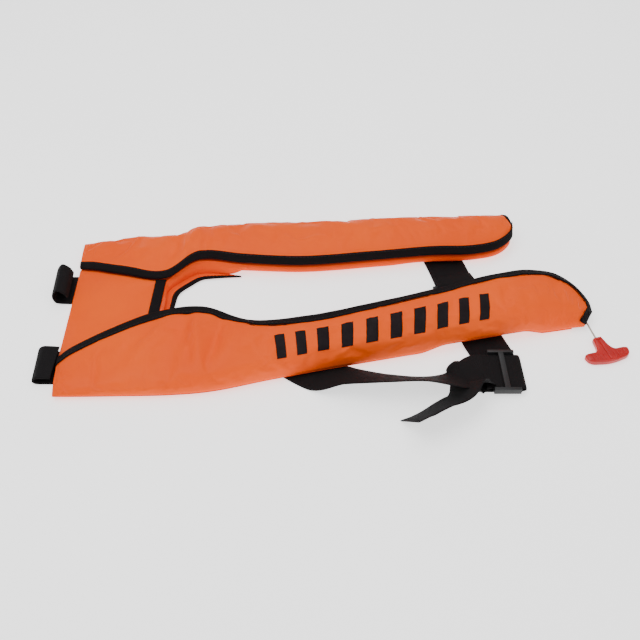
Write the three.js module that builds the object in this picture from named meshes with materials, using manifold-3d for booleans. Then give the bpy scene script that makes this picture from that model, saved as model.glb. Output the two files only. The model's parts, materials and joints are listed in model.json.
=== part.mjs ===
// An inflatable horseshoe life jacket, packed flat in its folded cover and lying face up.
// Millimetres. +Z is up, +X runs from the back of the neck to the tips of the lobes,
// +Y is the wearer's left.
import * as THREE from 'three';
import { mergeVertices } from 'three/addons/utils/BufferGeometryUtils.js';
import Module from 'manifold-3d';

const wasm = await Module();
wasm.setup();

// ---- Driving dimensions ----
const coverLength = 630; // back edge to the longer tip
const coverWidth = 300; // across both lobes
const packHeight = 40; // crown of the packed lobes
const clothThick = 1.2; // coated cover cloth
const gap = 0.4; // kept between pieces that touch
const foldHeight = 6; // height of the fold along each outer edge, where the top flap turns over
// The arc of a flap's section, from the outer fold to the free edge.
const flapTurn = THREE.MathUtils.degToRad(150);
const flapFullness = 0.75; // 1 gives a round crown, less a flatter one
const flapStart = -118; // where along the lobe the opening part of the flap begins
const tuckWidth = 9; // of the lower cover, turned in under the flap's free edge
const tuckDrop = 5.5; // from the flap's free edge down to the tuck
const bindingWidth = 11;
const bindingThick = 0.8;
const hookTapeWidth = 12;
const hookTapeThick = 0.8;
const webbingWidth = 50;
const webbingThick = 1.6;
const cylinderDiameter = 25;
const cylinderLength = 118;
const leverReach = 20; // pivot to the lanyard eye
const lanyardDiameter = 2.2;
const handleSpan = 54;
const handleReach = 38;
const handleThick = 8;
const oralTubeDiameter = 13;
const oralTubeLength = 92;
const buckleThick = 9;
const bucklePlay = 0.5; // between the two halves of the buckle
const sliderLength = 60;
const sliderWidth = 30;
const sliderThick = 3;

// The outlines below are drawn for a cover of this size, and follow coverLength, coverWidth and packHeight.
const drawn = { length: 630, width: 300, height: 40 };
const stretch = {
  x: coverLength / drawn.length,
  y: coverWidth / drawn.width,
  z: packHeight / drawn.height,
};

const vec = (x, y, z = 0) => new THREE.Vector3(x, y, z);
const onCover = (x, y, z = 0) => vec(x * stretch.x, y * stretch.y, z);

// ---- Solids ----

function closedGeometry(points, triangles) {
  let volume = 0;
  for (let i = 0; i < triangles.length; i += 3) {
    const [a, b, c] = [0, 1, 2].map((k) => points[triangles[i + k]]);
    volume += a.dot(vec(0, 0, 0).crossVectors(b, c));
  }
  const facing = volume < 0 ? triangles.slice().reverse() : triangles;
  return new THREE.BufferGeometry().setFromPoints(points).setIndex(facing);
}

// A thick sheet between two grids of points, outer[row][column] and inner[row][column].
function slab(outer, inner) {
  const rows = outer.length;
  const columns = outer[0].length;
  const id = (side, i, j) => (side * rows + i) * columns + j;
  const triangles = [];
  const quad = (a, b, c, d) => triangles.push(a, b, c, a, c, d);
  const [lastRow, lastColumn] = [rows - 1, columns - 1];
  for (let i = 0; i < lastRow; i++) {
    for (let j = 0; j < lastColumn; j++) {
      quad(id(0, i, j), id(0, i + 1, j), id(0, i + 1, j + 1), id(0, i, j + 1));
      quad(id(1, i, j), id(1, i, j + 1), id(1, i + 1, j + 1), id(1, i + 1, j));
    }
    quad(id(0, i, 0), id(1, i, 0), id(1, i + 1, 0), id(0, i + 1, 0));
    quad(id(0, i, lastColumn), id(0, i + 1, lastColumn), id(1, i + 1, lastColumn), id(1, i, lastColumn));
  }
  for (let j = 0; j < lastColumn; j++) {
    quad(id(0, 0, j), id(0, 0, j + 1), id(1, 0, j + 1), id(1, 0, j));
    quad(id(0, lastRow, j + 1), id(0, lastRow, j), id(1, lastRow, j), id(1, lastRow, j + 1));
  }
  return closedGeometry([...outer.flat(), ...inner.flat()], triangles);
}

const steps = (from, to, count) =>
  Array.from({ length: count + 1 }, (_, i) => from + ((to - from) * i) / count);

// Webbing along hand-placed stations, each a centre and the direction across its width.
// It rests on the table.
function ribbon(stations, width, thick, stepsPerStation = 4) {
  const centre = new THREE.CatmullRomCurve3(stations.map((s) => s.at));
  const across = new THREE.CatmullRomCurve3(stations.map((s) => s.across));
  const [upper, lower] = [[], []];
  for (const t of steps(0, 1, (stations.length - 1) * stepsPerStation)) {
    const along = centre.getTangent(t);
    const w = across.getPoint(t).addScaledVector(along, -across.getPoint(t).dot(along)).normalize();
    const n = vec(0, 0, 0).crossVectors(along, w);
    const corner = (side, face) =>
      centre.getPoint(t).addScaledVector(w, (side * width) / 2).addScaledVector(n, (face * thick) / 2);
    const corners = [corner(-1, 1), corner(1, 1), corner(-1, -1), corner(1, -1)];
    const sunk = Math.max(0, gap - Math.min(...corners.map((c) => c.z)));
    corners.forEach((c) => c.setZ(c.z + sunk));
    upper.push(corners.slice(0, 2));
    lower.push(corners.slice(2));
  }
  return slab(upper, lower);
}

function cordGeometry(points, diameter, divisions, sides = 8) {
  const section = new THREE.Shape(
    steps(0, 2 * Math.PI, sides).slice(0, -1).map(
      (a) => new THREE.Vector2((Math.cos(a) * diameter) / 2, (Math.sin(a) * diameter) / 2)),
  );
  const extrudePath = new THREE.CatmullRomCurve3(points);
  return new THREE.ExtrudeGeometry(section, { steps: divisions, extrudePath });
}

// A turned piece: [radius, distance along the axis] pairs, from the axis back to the axis,
// lying along +X.
function turned(profile, sides = 28) {
  const shape = profile.map(([r, along]) => new THREE.Vector2(r, along));
  return new THREE.LatheGeometry(shape, sides).rotateZ(-Math.PI / 2);
}

const plate = (shape, z0, z1, curveSegments = 6) =>
  new THREE.ExtrudeGeometry(shape, { depth: z1 - z0, bevelEnabled: false, curveSegments })
    .translate(0, 0, z0);
const rod = (r, z0, z1, x = 0, y = 0, sides = 24) =>
  new THREE.CylinderGeometry(r, r, z1 - z0, sides).rotateX(Math.PI / 2).translate(x, y, (z0 + z1) / 2);
const block = (x0, x1, y0, y1, z0, z1) =>
  new THREE.BoxGeometry(x1 - x0, y1 - y0, z1 - z0).translate((x0 + x1) / 2, (y0 + y1) / 2, (z0 + z1) / 2);

function toManifold(geometry) {
  const bare = geometry.index ? geometry.toNonIndexed() : geometry.clone();
  bare.deleteAttribute('normal');
  bare.deleteAttribute('uv');
  const merged = mergeVertices(bare, 1e-4);
  return new wasm.Manifold(new wasm.Mesh({
    numProp: 3,
    vertProperties: merged.attributes.position.array,
    triVerts: new Uint32Array(merged.index.array),
  }));
}

function fromManifold(solid) {
  const mesh = solid.getMesh();
  const positions = new THREE.BufferAttribute(new Float32Array(mesh.vertProperties), mesh.numProp);
  return new THREE.BufferGeometry().setAttribute('position', positions)
    .setIndex(new THREE.BufferAttribute(mesh.triVerts, 1));
}

// Joins the first list of geometries and cuts the second list out of the result.
function carve(joined, cuts = []) {
  const whole = joined.map(toManifold).reduce((a, b) => a.add(b));
  return fromManifold(cuts.map(toManifold).reduce((a, b) => a.subtract(b), whole));
}

// ---- Materials ----
const finish = (color, roughness, metalness = 0) =>
  new THREE.MeshStandardMaterial({ color, roughness, metalness });
const materials = {
  cover: finish(0xff5512, 0.55),
  lining: finish(0xe8480c, 0.7),
  bladder: finish(0xf4b400, 0.5),
  webbing: finish(0x1c1b1d, 0.85),
  binding: finish(0x201c1f, 0.8),
  hookTape: finish(0x151515, 0.95),
  blackPlastic: finish(0x222224, 0.45),
  redPlastic: finish(0xc81414, 0.35),
  steel: finish(0xb9bcc0, 0.35, 1),
  brass: finish(0xb98f45, 0.35, 1),
  lanyard: finish(0xc9bfae, 0.8),
  whistle: finish(0xf2a000, 0.4),
  seal: finish(0x2a2a2a, 0.9),
};

// ---- The lobes ----
// Each station is one cross-section: the outer fold, the free inner edge, the crown and the
// free edge's height.
const station = (outerX, outerY, innerX, innerY, crown, edge) => ({
  outer: onCover(outerX, outerY),
  inner: onCover(innerX, innerY),
  heights: vec(crown * stretch.z, edge * stretch.z, 0),
});

const rightStations = [
  station(-306, -139, -312, -84, 9, 9),
  station(-290, -139, -300, -74, 15, 13),
  station(-240, -138, -258, -49, 22, 19),
  station(-176, -136, -205, -24, 27, 23),
  station(-132, -131, -151, -21, 34, 29),
  station(-70, -115, -93, -46, 37, 32),
  station(-10, -100, -26, -40, 38, 33),
  station(65, -83, 53, -20, 40, 35),
  station(138, -66, 131, 4, 41, 36),
  station(203, -51, 199, 28, 41, 36),
  station(250, -41, 245, 40, 38, 33),
  station(276, -36, 278, 38, 32, 28),
  station(292, -33, 300, 23, 26, 22),
  station(300, -32, 313, 2, 19, 16),
  station(303, -31.5, 315, -13, 14, 12),
];

const leftStations = [
  station(-323, 121, -319, 71, 9, 9),
  station(-305, 123, -300, 65, 15, 13),
  station(-255, 128, -259, 51, 21, 18),
  station(-206, 131, -205, 42, 26, 19),
  station(-168, 139, -165, 72, 34, 24),
  station(-110, 146, -108, 68, 36, 22),
  station(-30, 151, -32, 65, 36, 21),
  station(60, 157, 58, 75, 36, 21),
  station(130, 161, 130, 84, 36, 21),
  station(190, 165, 186, 88, 35, 20),
  station(215, 166, 220, 100, 32, 19),
  station(228, 167, 240, 122, 28, 18),
  station(236, 168, 243, 142, 24, 16),
];

const curveThrough = (stations, key) => new THREE.CatmullRomCurve3(stations.map((s) => s[key]));

// lift(x) raises the whole section where the lobe lies over webbing or the buckle.
function makeLobe(stations, lift) {
  const [outer, inner, heights] = ['outer', 'inner', 'heights'].map((key) => curveThrough(stations, key));
  const frame = (t) => {
    const o = outer.getPoint(t);
    const reach = inner.getPoint(t).sub(o);
    const width = reach.length();
    const under = lift(o.x / stretch.x);
    const h = heights.getPoint(t);
    return {
      width,
      under,
      crown: h.x,
      edge: Math.max(h.y, under + clothThick + 3),
      fold: Math.min(Math.max(foldHeight, under + 4), h.x * 0.7),
      at: (s, z) => o.clone().addScaledVector(reach, s / width).setZ(z),
    };
  };
  const flapPoint = (t, v) => {
    const f = frame(t);
    const angle = v * flapTurn;
    const half = f.width / 2;
    if (angle <= Math.PI / 2) {
      const rise = (f.crown - f.fold) * Math.sin(angle) ** flapFullness;
      return f.at(half * (1 - Math.cos(angle)), f.fold + rise);
    }
    const fall = (Math.sin(angle) - Math.sin(flapTurn)) / (1 - Math.sin(flapTurn));
    return f.at(half * (1 + Math.cos(angle) / Math.cos(flapTurn)), f.edge + (f.crown - f.edge) * fall);
  };
  const side = Math.sign(stations[0].outer.y);
  // The flap's outward normal, and how its surface point moves with v.
  const flapSlope = (t, v) => {
    const small = 1e-3;
    const [t0, t1] = [Math.max(0, t - small), Math.min(1, t + small)];
    const [v0, v1] = [Math.max(0.02, v - small), Math.max(0.02 + small, Math.min(1, v + small))];
    const dt = flapPoint(t1, v).sub(flapPoint(t0, v));
    const dv = flapPoint(t, v1).sub(flapPoint(t, v0)).divideScalar(v1 - v0);
    const normal = vec(0, 0, 0).crossVectors(dt, dv).normalize().multiplyScalar(-side);
    return { normal, dv };
  };
  const atX = (x) => {
    let [low, high] = [0, 1];
    for (let i = 0; i < 30; i++) {
      const middle = (low + high) / 2;
      if (outer.getPoint(middle).x < x * stretch.x) low = middle;
      else high = middle;
    }
    return (low + high) / 2;
  };
  return { frame, flapPoint, flapSlope, atX, side };
}

const offsetPoint = (lobe, t, v, distance) =>
  lobe.flapPoint(t, v).addScaledVector(lobe.flapSlope(t, v).normal, distance);

// Where across the flap the binding's edge lies.
const bindingStart = (lobe, t) => 1 - bindingWidth / lobe.flapSlope(t, 1).dv.length();

// The flap's cloth, divided so that its facets run along the binding's.
function flapSheet(lobe, ts) {
  const grid = (distance) => ts.map((t) => {
    const back = bindingStart(lobe, t);
    const across = [...steps(0, back, 7).slice(0, -1), ...steps(back, 1, 2)];
    return across.map((v) => offsetPoint(lobe, t, v, distance));
  });
  return slab(grid(0), grid(-clothThick));
}

// Hook tape on the flap's inner face, beside the binding.
function flapTape(lobe, ts, width) {
  const grid = (distance) => ts.map((t) => {
    const edge = bindingStart(lobe, t) - gap / width / 10;
    const span = width / lobe.flapSlope(t, edge).dv.length();
    return steps(edge - span, edge, 1).map((v) => offsetPoint(lobe, t, v, distance));
  });
  return slab(grid(-clothThick - 2 * gap), grid(-clothThick - 2 * gap - hookTapeThick));
}

// Binding tape folded over the flap's free edge.
function flapBinding(lobe, ts) {
  const [outer, inner] = [[], []];
  for (const t of ts) {
    const back = bindingStart(lobe, t);
    const away = lobe.flapSlope(t, 1).dv.normalize();
    const path = (spare) => [
      ...steps(back, 1, 2).map((v) => offsetPoint(lobe, t, v, spare)),
      offsetPoint(lobe, t, 1, spare).addScaledVector(away, spare),
      offsetPoint(lobe, t, 1, -clothThick - spare - gap).addScaledVector(away, spare),
      ...steps(1, back, 2).map((v) => offsetPoint(lobe, t, v, -clothThick - spare - gap)),
    ];
    outer.push(path(gap + bindingThick));
    inner.push(path(gap));
  }
  return slab(outer, inner);
}

// ---- The lower cover of a lobe: outer wall, bottom, inner wall and the tuck under the flap ----
function basePoint(lobe, t, u, distance) {
  const f = lobe.frame(t);
  const inner = f.width - gap;
  const tuck = f.edge - tuckDrop;
  const [low, wall] = [f.under, f.width * 0.12];
  const outline = new THREE.SplineCurve([
    new THREE.Vector2(0.4, f.fold - gap - 0.6),
    new THREE.Vector2(1, (low + f.fold) / 2),
    new THREE.Vector2(wall, low),
    new THREE.Vector2(f.width * 0.4, low),
    new THREE.Vector2(f.width * 0.7, low),
    new THREE.Vector2(inner - wall, low),
    new THREE.Vector2(inner - 1, low + (tuck - low) * 0.4),
    new THREE.Vector2(inner - 2, tuck - 2),
    new THREE.Vector2(inner - 7, tuck),
    new THREE.Vector2(inner - Math.min(tuckWidth * stretch.y, f.width * 0.3), tuck + 1),
  ]);
  const p = outline.getPoint(u);
  const tangent = outline.getTangent(u);
  return f.at(p.x - tangent.y * distance, Math.max(low + distance, p.y + tangent.x * distance));
}

// distance 0 is the cloth's outer face, and larger distances lie further inside.
function baseSheet(lobe, ts, us, distance, thick) {
  const grid = (d) => ts.map((t) => us.map((u) => basePoint(lobe, t, u, d)));
  return slab(grid(distance), grid(distance + thick));
}

// ---- What lies under the lobes ----
const strapBed = webbingThick + 2 * gap;
const buckleBed = buckleThick + 2 * gap;
const bump = (x, from, to, blend) =>
  THREE.MathUtils.smoothstep(x, from - blend, from) * (1 - THREE.MathUtils.smoothstep(x, to, to + blend));
const buckleX = 143 + webbingWidth / 2; // its edge on the inflator's side keeps its place
const [buckleAhead, buckleBehind] = [8, 32].map((spare) => (webbingWidth / 2 + spare) / stretch.x);
const rightLobe = makeLobe(rightStations, (x) =>
  gap + (strapBed - gap) * bump(x, -400, 80, 50)
  + (buckleBed - gap) * bump(x, buckleX - buckleAhead, buckleX + buckleBehind, 35));
const leftLobe = makeLobe(leftStations, (x) =>
  gap + (strapBed - gap) * Math.max(bump(x, -400, -180, 40), bump(x, 110, 190, 30)));

// ---- Assembly ----
const jacket = new THREE.Group();
function add(name, geometry, material, parent = jacket) {
  const mesh = new THREE.Mesh(geometry, material);
  mesh.name = name;
  parent.add(mesh);
  return mesh;
}

function coverLobe(name, lobe, tip) {
  const split = lobe.atX(flapStart);
  const splitGap = gap / coverLength;
  const shoulder = steps(0, split - splitGap, 8);
  const opening = steps(split + splitGap, 1, 18);
  add(`${name}_shoulder_cover`, flapSheet(lobe, shoulder), materials.cover);
  add(`${name}_flap`, flapSheet(lobe, opening), materials.cover);
  add(`${name}_shoulder_binding`, flapBinding(lobe, shoulder), materials.binding);
  add(`${name}_flap_binding`, flapBinding(lobe, opening), materials.binding);
  const whole = [...shoulder, ...opening].filter((t) => t < lobe.atX(tip));
  add(`${name}_base`, baseSheet(lobe, whole, steps(0, 1, 13), 0, clothThick), materials.lining);
  add(`${name}_hook_tape`, flapTape(lobe, opening.slice(1, -3), hookTapeWidth), materials.hookTape);
}
coverLobe('right', rightLobe, 288);
coverLobe('left', leftLobe, 234);

// ---- The panel behind the neck: one cloth folded along the back edge, between the two lobes ----
const neckStation = 3;
const seam = 0.8; // from the lobes' inner edges
const yokeDrop = 3.4; // from the flaps' free edges down to the panel's top
const innerEdge = (stations, lobe, q) => {
  const t = (q * neckStation) / (stations.length - 1);
  const f = lobe.frame(t);
  return f.at(f.width + seam, f.edge);
};
function yokePoint(q, w, z = null) {
  const [a, b] = [innerEdge(rightStations, rightLobe, q), innerEdge(leftStations, leftLobe, q)];
  const p = a.lerp(b, w);
  return p.setZ(z ?? p.z - yokeDrop);
}
function yokePanel(inset) {
  const along = [0.98, 0.7, 0.4, 0.15, 0.02];
  const across = steps(0, 1, 6);
  return across.map((w) => [
    ...along.map((q) => yokePoint(q, w, strapBed + inset).add(vec(inset, 0, 0))),
    ...along.slice().reverse().map((q) => yokePoint(q, w).add(vec(inset, 0, -inset))),
  ]);
}
add('yoke_panel', slab(yokePanel(0), yokePanel(clothThick)), materials.cover);

const neckBand = (out) => steps(0, 1, 6).map((w) => [
  yokePoint(1, w, strapBed).add(vec(out, 0, 0)),
  yokePoint(1, w).add(vec(out, 0, 1)),
]);
add('neck_binding', slab(neckBand(bindingThick), neckBand(0)), materials.binding);

// The lower cloth shows inside the neck opening as a crescent with a bound edge.
const crescentOuter = new THREE.CatmullRomCurve3(
  [[-203, -14], [-202, 10], [-201, 33], [-187, 51], [-169, 65], [-149, 67], [-121, 64]]
    .map(([x, y]) => onCover(x, y)));
const crescentInner = new THREE.CatmullRomCurve3(
  [[-191, -12], [-190, 10], [-187, 29], [-174, 44], [-161, 55], [-145, 58], [-112, 61]]
    .map(([x, y]) => onCover(x, y)));
function crescent(from, to, z0, z1) {
  const grid = (z) => steps(0, 1, 12).map((t) => [from, to].map(
    (w) => crescentOuter.getPoint(t).lerp(crescentInner.getPoint(t), w).setZ(z)));
  return slab(grid(z0), grid(z1));
}
add('neck_gusset', crescent(0, 0.5, strapBed, strapBed + clothThick), materials.lining);
add('gusset_binding', crescent(0.54, 1, strapBed - 0.8, strapBed + clothThick + 0.8), materials.binding);

// ---- Webbing loops at the back, for the waist belt ----
const backDirection = onCover(-326, 116).sub(onCover(-306, -139)).normalize();
function backLoop(y, profile) {
  const middle = onCover(-306, -139).addScaledVector(backDirection, y * stretch.y + 139 * stretch.y);
  const stations = profile.map(([out, z]) => (
    { at: vec(middle.x - out, middle.y, z), across: backDirection }));
  return ribbon(stations, webbingWidth, webbingThick, 3);
}
const loopFloor = gap + webbingThick / 2;
add('back_loop_right', backLoop(-92, [
  [-14, loopFloor], [10, loopFloor], [23, loopFloor + 1], [26, 5.6], [21, 10], [11, 10.4], [3.6, 9.6],
]), materials.webbing);
add('back_loop_left', backLoop(38, [
  [-14, loopFloor], [8, loopFloor], [20, 4], [22, 14], [15, 22.5], [7, 18], [3.6, 10.5],
]), materials.webbing);

// ---- The side-release buckle, under the right lobe ----
const buckle = new THREE.Group();
buckle.position.copy(onCover(buckleX, 0));
buckle.rotation.z = THREE.MathUtils.degToRad(11);
jacket.add(buckle);
jacket.updateMatrixWorld(true);
const buckleWall = 1.8;
const [buckleLow, buckleHigh] = [gap, gap + buckleThick];
const slotHalf = webbingWidth / 2 + 1.5;
const buckleHalf = slotHalf + 4;
const cavityHalf = buckleHalf - 3.5;
const femaleLength = 46;
const cavityLength = 32;
const [latchFrom, latchTo] = [16, 28]; // the latch windows along the buckle
const [barLow, barHigh] = [2.8, 6.6];
const across = (half, y0, y1, z0, z1) => block(-half, half, y0, y1, z0, z1);
add('buckle_female', carve(
  [
    across(buckleHalf, 0, cavityLength + 3, buckleLow, buckleHigh),
    block(-buckleHalf, -slotHalf, cavityLength, femaleLength, barLow, barHigh),
    block(slotHalf, buckleHalf, cavityLength, femaleLength, barLow, barHigh),
    across(buckleHalf, femaleLength - 3.5, femaleLength, barLow, barHigh),
  ],
  [
    across(cavityHalf, -1, cavityLength, buckleLow + buckleWall, buckleHigh - buckleWall),
    across(buckleHalf + 1, latchFrom, latchTo + 2, buckleLow + buckleWall, buckleHigh - buckleWall),
  ],
), materials.blackPlastic, buckle);
const [tongueLow, tongueHigh] = [buckleLow + buckleWall + bucklePlay, buckleHigh - buckleWall - bucklePlay];
const armRoot = 12;
add('buckle_male', carve(
  [
    across(buckleHalf, -4.5, -bucklePlay, buckleLow + 0.6, buckleHigh - 0.6),
    block(-buckleHalf, -slotHalf, -14, -4, barLow, barHigh),
    block(slotHalf, buckleHalf, -14, -4, barLow, barHigh),
    across(buckleHalf, -14, -10.5, barLow, barHigh),
    across(5, -1, 26, tongueLow, tongueHigh),
  ],
), materials.blackPlastic, buckle);
for (const [name, side] of [['latch_arm_left', -1], ['latch_arm_right', 1]]) {
  const arm = new THREE.Shape();
  arm.moveTo(armRoot - 2, 0.2).lineTo(armRoot + 4, 0.2);
  arm.quadraticCurveTo(cavityHalf - 2, 8, cavityHalf - 1.5, latchFrom + bucklePlay);
  arm.lineTo(buckleHalf + 0.5, latchFrom + bucklePlay + 1).lineTo(buckleHalf + 0.5, latchTo - 3);
  arm.quadraticCurveTo(cavityHalf, latchTo + 2, cavityHalf - 5, latchTo + 1);
  arm.quadraticCurveTo(cavityHalf - 6, 10, armRoot - 2, 5);
  const geometry = plate(arm, tongueLow, tongueHigh, 5);
  if (side < 0) geometry.rotateY(Math.PI).translate(0, 0, tongueLow + tongueHigh);
  add(name, geometry, materials.blackPlastic, buckle);
}

// ---- Waist belt ----
const buckleAcross = vec(1, 0, 0).applyEuler(buckle.rotation);
const atBuckle = (y, z) => ({ at: buckle.localToWorld(vec(0, y, z)), across: buckleAcross });
const at = (x, y, z, wx, wy, wz) => ({ at: onCover(x, y, 0).setZ(z), across: vec(wx, wy, wz) });
// The same beside the lobe: the webbing's inner edge keeps its place there, whatever its width.
const drawnWebbing = 50;
function beside(x, y, z, wx, wy, wz) {
  const across = vec(wx, wy, wz);
  const drawnHalf = across.clone().multiplyScalar(drawnWebbing / 2);
  const edge = onCover(x + drawnHalf.x, y + drawnHalf.y).setZ(z + drawnHalf.z);
  return { at: edge.addScaledVector(across, -webbingWidth / 2), across };
}
const lowLayer = gap + webbingThick / 2;
const highLayer = lowLayer + webbingThick + gap;
const sliderWeb = highLayer + 5; // the free end's height where it runs through the slider
const beltRun = [
  beside(-80, -55, lowLayer, 0.56, 0.83, 0),
  beside(-14, -103, lowLayer, 0.5, 0.86, 0),
  beside(22, -115, 12.5, 0.2, 0.86, -0.46),
  beside(60, -122, 17.5, 0, 0.79, -0.63),
  beside(99, -124, 18.6, 0, 0.72, -0.7),
  beside(142, -121, 13, 0, 0.88, -0.47),
  beside(158, -108, highLayer + 0.8, 0, 1, -0.05),
  beside(167, -104, highLayer, 0, 1, 0),
  beside(192, -104, highLayer, 0, 1, 0),
  beside(212, -104, highLayer, 0, 1, 0),
];
const buckleRun = [
  at(188, -128, lowLayer, 1, 0, 0),
  at(188, -80, lowLayer, 1, 0, 0),
  at(179, -45, lowLayer, 0.99, 0.1, 0),
  atBuckle(-18, lowLayer),
  atBuckle(-9, 1.9),
  atBuckle(-7.4, 4.6),
  atBuckle(-10, 7.7),
  atBuckle(-20, 6.6),
  at(179, -50, highLayer, 0.99, 0.1, 0),
  at(188, -80, highLayer, 1, 0, 0),
  at(188, -128, highLayer, 1, 0, 0),
];
const freeRun = [
  beside(210, -104, highLayer, 0, 1, 0),
  beside(215, -104, highLayer + 1, 0, 1, 0),
  beside(216.5, -104, (highLayer + sliderWeb) / 2, 0, 1, 0),
  beside(214.5, -104, sliderWeb - 0.3, 0, 1, 0),
  beside(209, -104, sliderWeb, 0, 1, 0),
  beside(176, -104, sliderWeb, 0, 1, 0),
  beside(168, -105, sliderWeb, 0, 1, 0),
  beside(155, -122, 12, 0, 0.92, -0.38),
  beside(141, -146, 15.8, 0, 0.8, -0.6),
  beside(118, -162, 18, 0, 0.74, -0.67),
  beside(98, -175, 18.6, 0, 0.72, -0.7),
  beside(82, -183, 18.6, 0, 0.72, -0.7),
];
const webbing = (stations, thick = webbingThick) => ribbon(stations, webbingWidth, thick, 3);
add('waist_belt', carve([webbing(beltRun), webbing(buckleRun), webbing(freeRun)]), materials.webbing);

// ---- Slider on the belt's free end ----
const slider = new THREE.Group();
slider.position.copy(beside(195, -104, sliderWeb, 0, 1, 0).at);
jacket.add(slider);
const sliderHalf = sliderWidth / 2;
const railInner = webbingWidth / 2 + 1;
const webClear = webbingThick / 2 + 0.5;
const railHalf = webClear + sliderThick - 0.6;
const barThick = sliderThick - 0.8;
const barWidth = 5;
add('slider', carve([
  block(-sliderHalf, sliderHalf, railInner, sliderLength / 2, -railHalf, railHalf),
  block(-sliderHalf, sliderHalf, -sliderLength / 2, -railInner, -railHalf, railHalf),
  block(-sliderHalf, barWidth - sliderHalf, -railInner - 1, railInner + 1, -webClear - barThick, -webClear),
  block(sliderHalf - barWidth, sliderHalf, -railInner - 1, railInner + 1, -webClear - barThick, -webClear),
  block(-3, 3, -railInner - 1, railInner + 1, webClear, webClear + barThick),
]), materials.blackPlastic, slider);

// ---- Strap from the left lobe to the buckle ----
add('far_strap', webbing([
  at(142, 118, lowLayer, 0.98, 0.19, 0),
  at(152, 80, lowLayer, 0.98, 0.19, 0),
  atBuckle(50, lowLayer),
  atBuckle(41, 1.9),
  atBuckle(39.2, 4.6),
  atBuckle(42, 7.8),
  atBuckle(50, 7),
  atBuckle(64, 3.6),
]), materials.webbing);

// ---- Inflator in the right lobe: its own +X runs along the lobe towards the tip ----
const inflator = new THREE.Group();
const inflatorHeight = strapBed + clothThick + cylinderDiameter / 2 + 1.1;
const lobeSlope = 0.229; // of the right lobe's middle line, as drawn
inflator.position.copy(onCover(95, -38).setZ(inflatorHeight));
inflator.rotation.z = Math.atan((lobeSlope * stretch.y) / stretch.x);
jacket.add(inflator);
const bodyHalf = { x: 14, y: 13.5, z: 11.5 };
const neckRadius = 4.6;
const neckLength = 11;
const pinRadius = 1.6;
const pinStroke = 3.4;
const springRadius = 4.2;
const fit = 0.35; // radial clearance of pieces in their bores
const pivotX = 9.5;
const pivotRadius = 1.5;
const leverThick = 5;
const forkDepth = 4.9; // the lever's slot, behind its pivot
const alongX = (geometry) => geometry.rotateY(Math.PI / 2);
const stemAt = { x: -4, y: -9 };
const stemRadius = 3;
add('inflator_body', carve(
  [block(-bodyHalf.x, bodyHalf.x, -bodyHalf.y, bodyHalf.y, -bodyHalf.z, bodyHalf.z)],
  [
    alongX(rod(neckRadius + fit, -bodyHalf.x - 1, -bodyHalf.x + neckLength)),
    alongX(rod(springRadius + fit, -bodyHalf.x + neckLength - 1, 4)),
    alongX(rod(pinRadius + fit, 3, bodyHalf.x + 1)),
    block(pivotX - forkDepth, bodyHalf.x + 1, -bodyHalf.y - 1, bodyHalf.y + 1,
      -leverThick / 2 - fit, leverThick / 2 + fit),
    rod(pivotRadius + 0.1, -9, 9, pivotX, 0),
    rod(stemRadius + fit, -bodyHalf.z - 1, bodyHalf.z + 1, stemAt.x, stemAt.y),
  ],
), materials.blackPlastic, inflator);
add('lever_pivot', rod(pivotRadius, -8.6, 8.6, pivotX, 0), materials.steel, inflator);
const leverRest = THREE.MathUtils.degToRad(-55); // from the lobe's own direction
const camRadius = 4.2;
const leverTip = 2.6;
const lever = new THREE.Shape();
lever.absarc(0, 0, camRadius, Math.PI / 2, -Math.PI / 2, false);
lever.lineTo(leverReach, -leverTip).absarc(leverReach, 0, leverTip, -Math.PI / 2, Math.PI / 2, false);
lever.lineTo(0, camRadius);
lever.holes.push(new THREE.Path().absarc(0, 0, pivotRadius + 0.15, 0, 2 * Math.PI, true));
lever.holes.push(new THREE.Path().absarc(leverReach, 0, 1.3, 0, 2 * Math.PI, true));
add('inflator_lever', plate(lever, -leverThick / 2, leverThick / 2, 8)
  .rotateZ(leverRest).translate(pivotX, 0, 0), materials.redPlastic, inflator);

// The piercing pin rests on the lever's cam, and a spring holds it back from the cylinder's seal.
const neckEnd = -bodyHalf.x + neckLength;
const pinTail = pivotX - camRadius - 0.4;
const flangeAt = neckEnd + pinStroke + 1;
add('piercing_pin', turned([
  [0, neckEnd + 0.2], [pinRadius, neckEnd + 1.8], [pinRadius, flangeAt], [springRadius - 0.4, flangeAt],
  [springRadius - 0.4, flangeAt + 1.4], [pinRadius, flangeAt + 1.4], [pinRadius, pinTail], [0, pinTail],
], 16), materials.steel, inflator);
class Helix extends THREE.Curve {
  constructor(radius, from, to, turns) {
    super();
    Object.assign(this, { radius, from, to, turns });
  }

  getPoint(t) {
    const angle = 2 * Math.PI * this.turns * t;
    const along = this.from + (this.to - this.from) * t;
    return vec(along, this.radius * Math.cos(angle), this.radius * Math.sin(angle));
  }
}
function spring(radius, wire, from, to, turns) {
  const section = new THREE.Shape(steps(0, 2 * Math.PI, 5).slice(0, -1).map(
    (a) => new THREE.Vector2(wire * Math.cos(a), wire * Math.sin(a))));
  const extrudePath = new Helix(radius, from, to, turns);
  return new THREE.ExtrudeGeometry(section, { steps: turns * 9, extrudePath });
}
add('pin_spring', spring(3.2, 0.35, neckEnd + 0.2, flangeAt - 0.5, 3), materials.steel, inflator);

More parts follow.
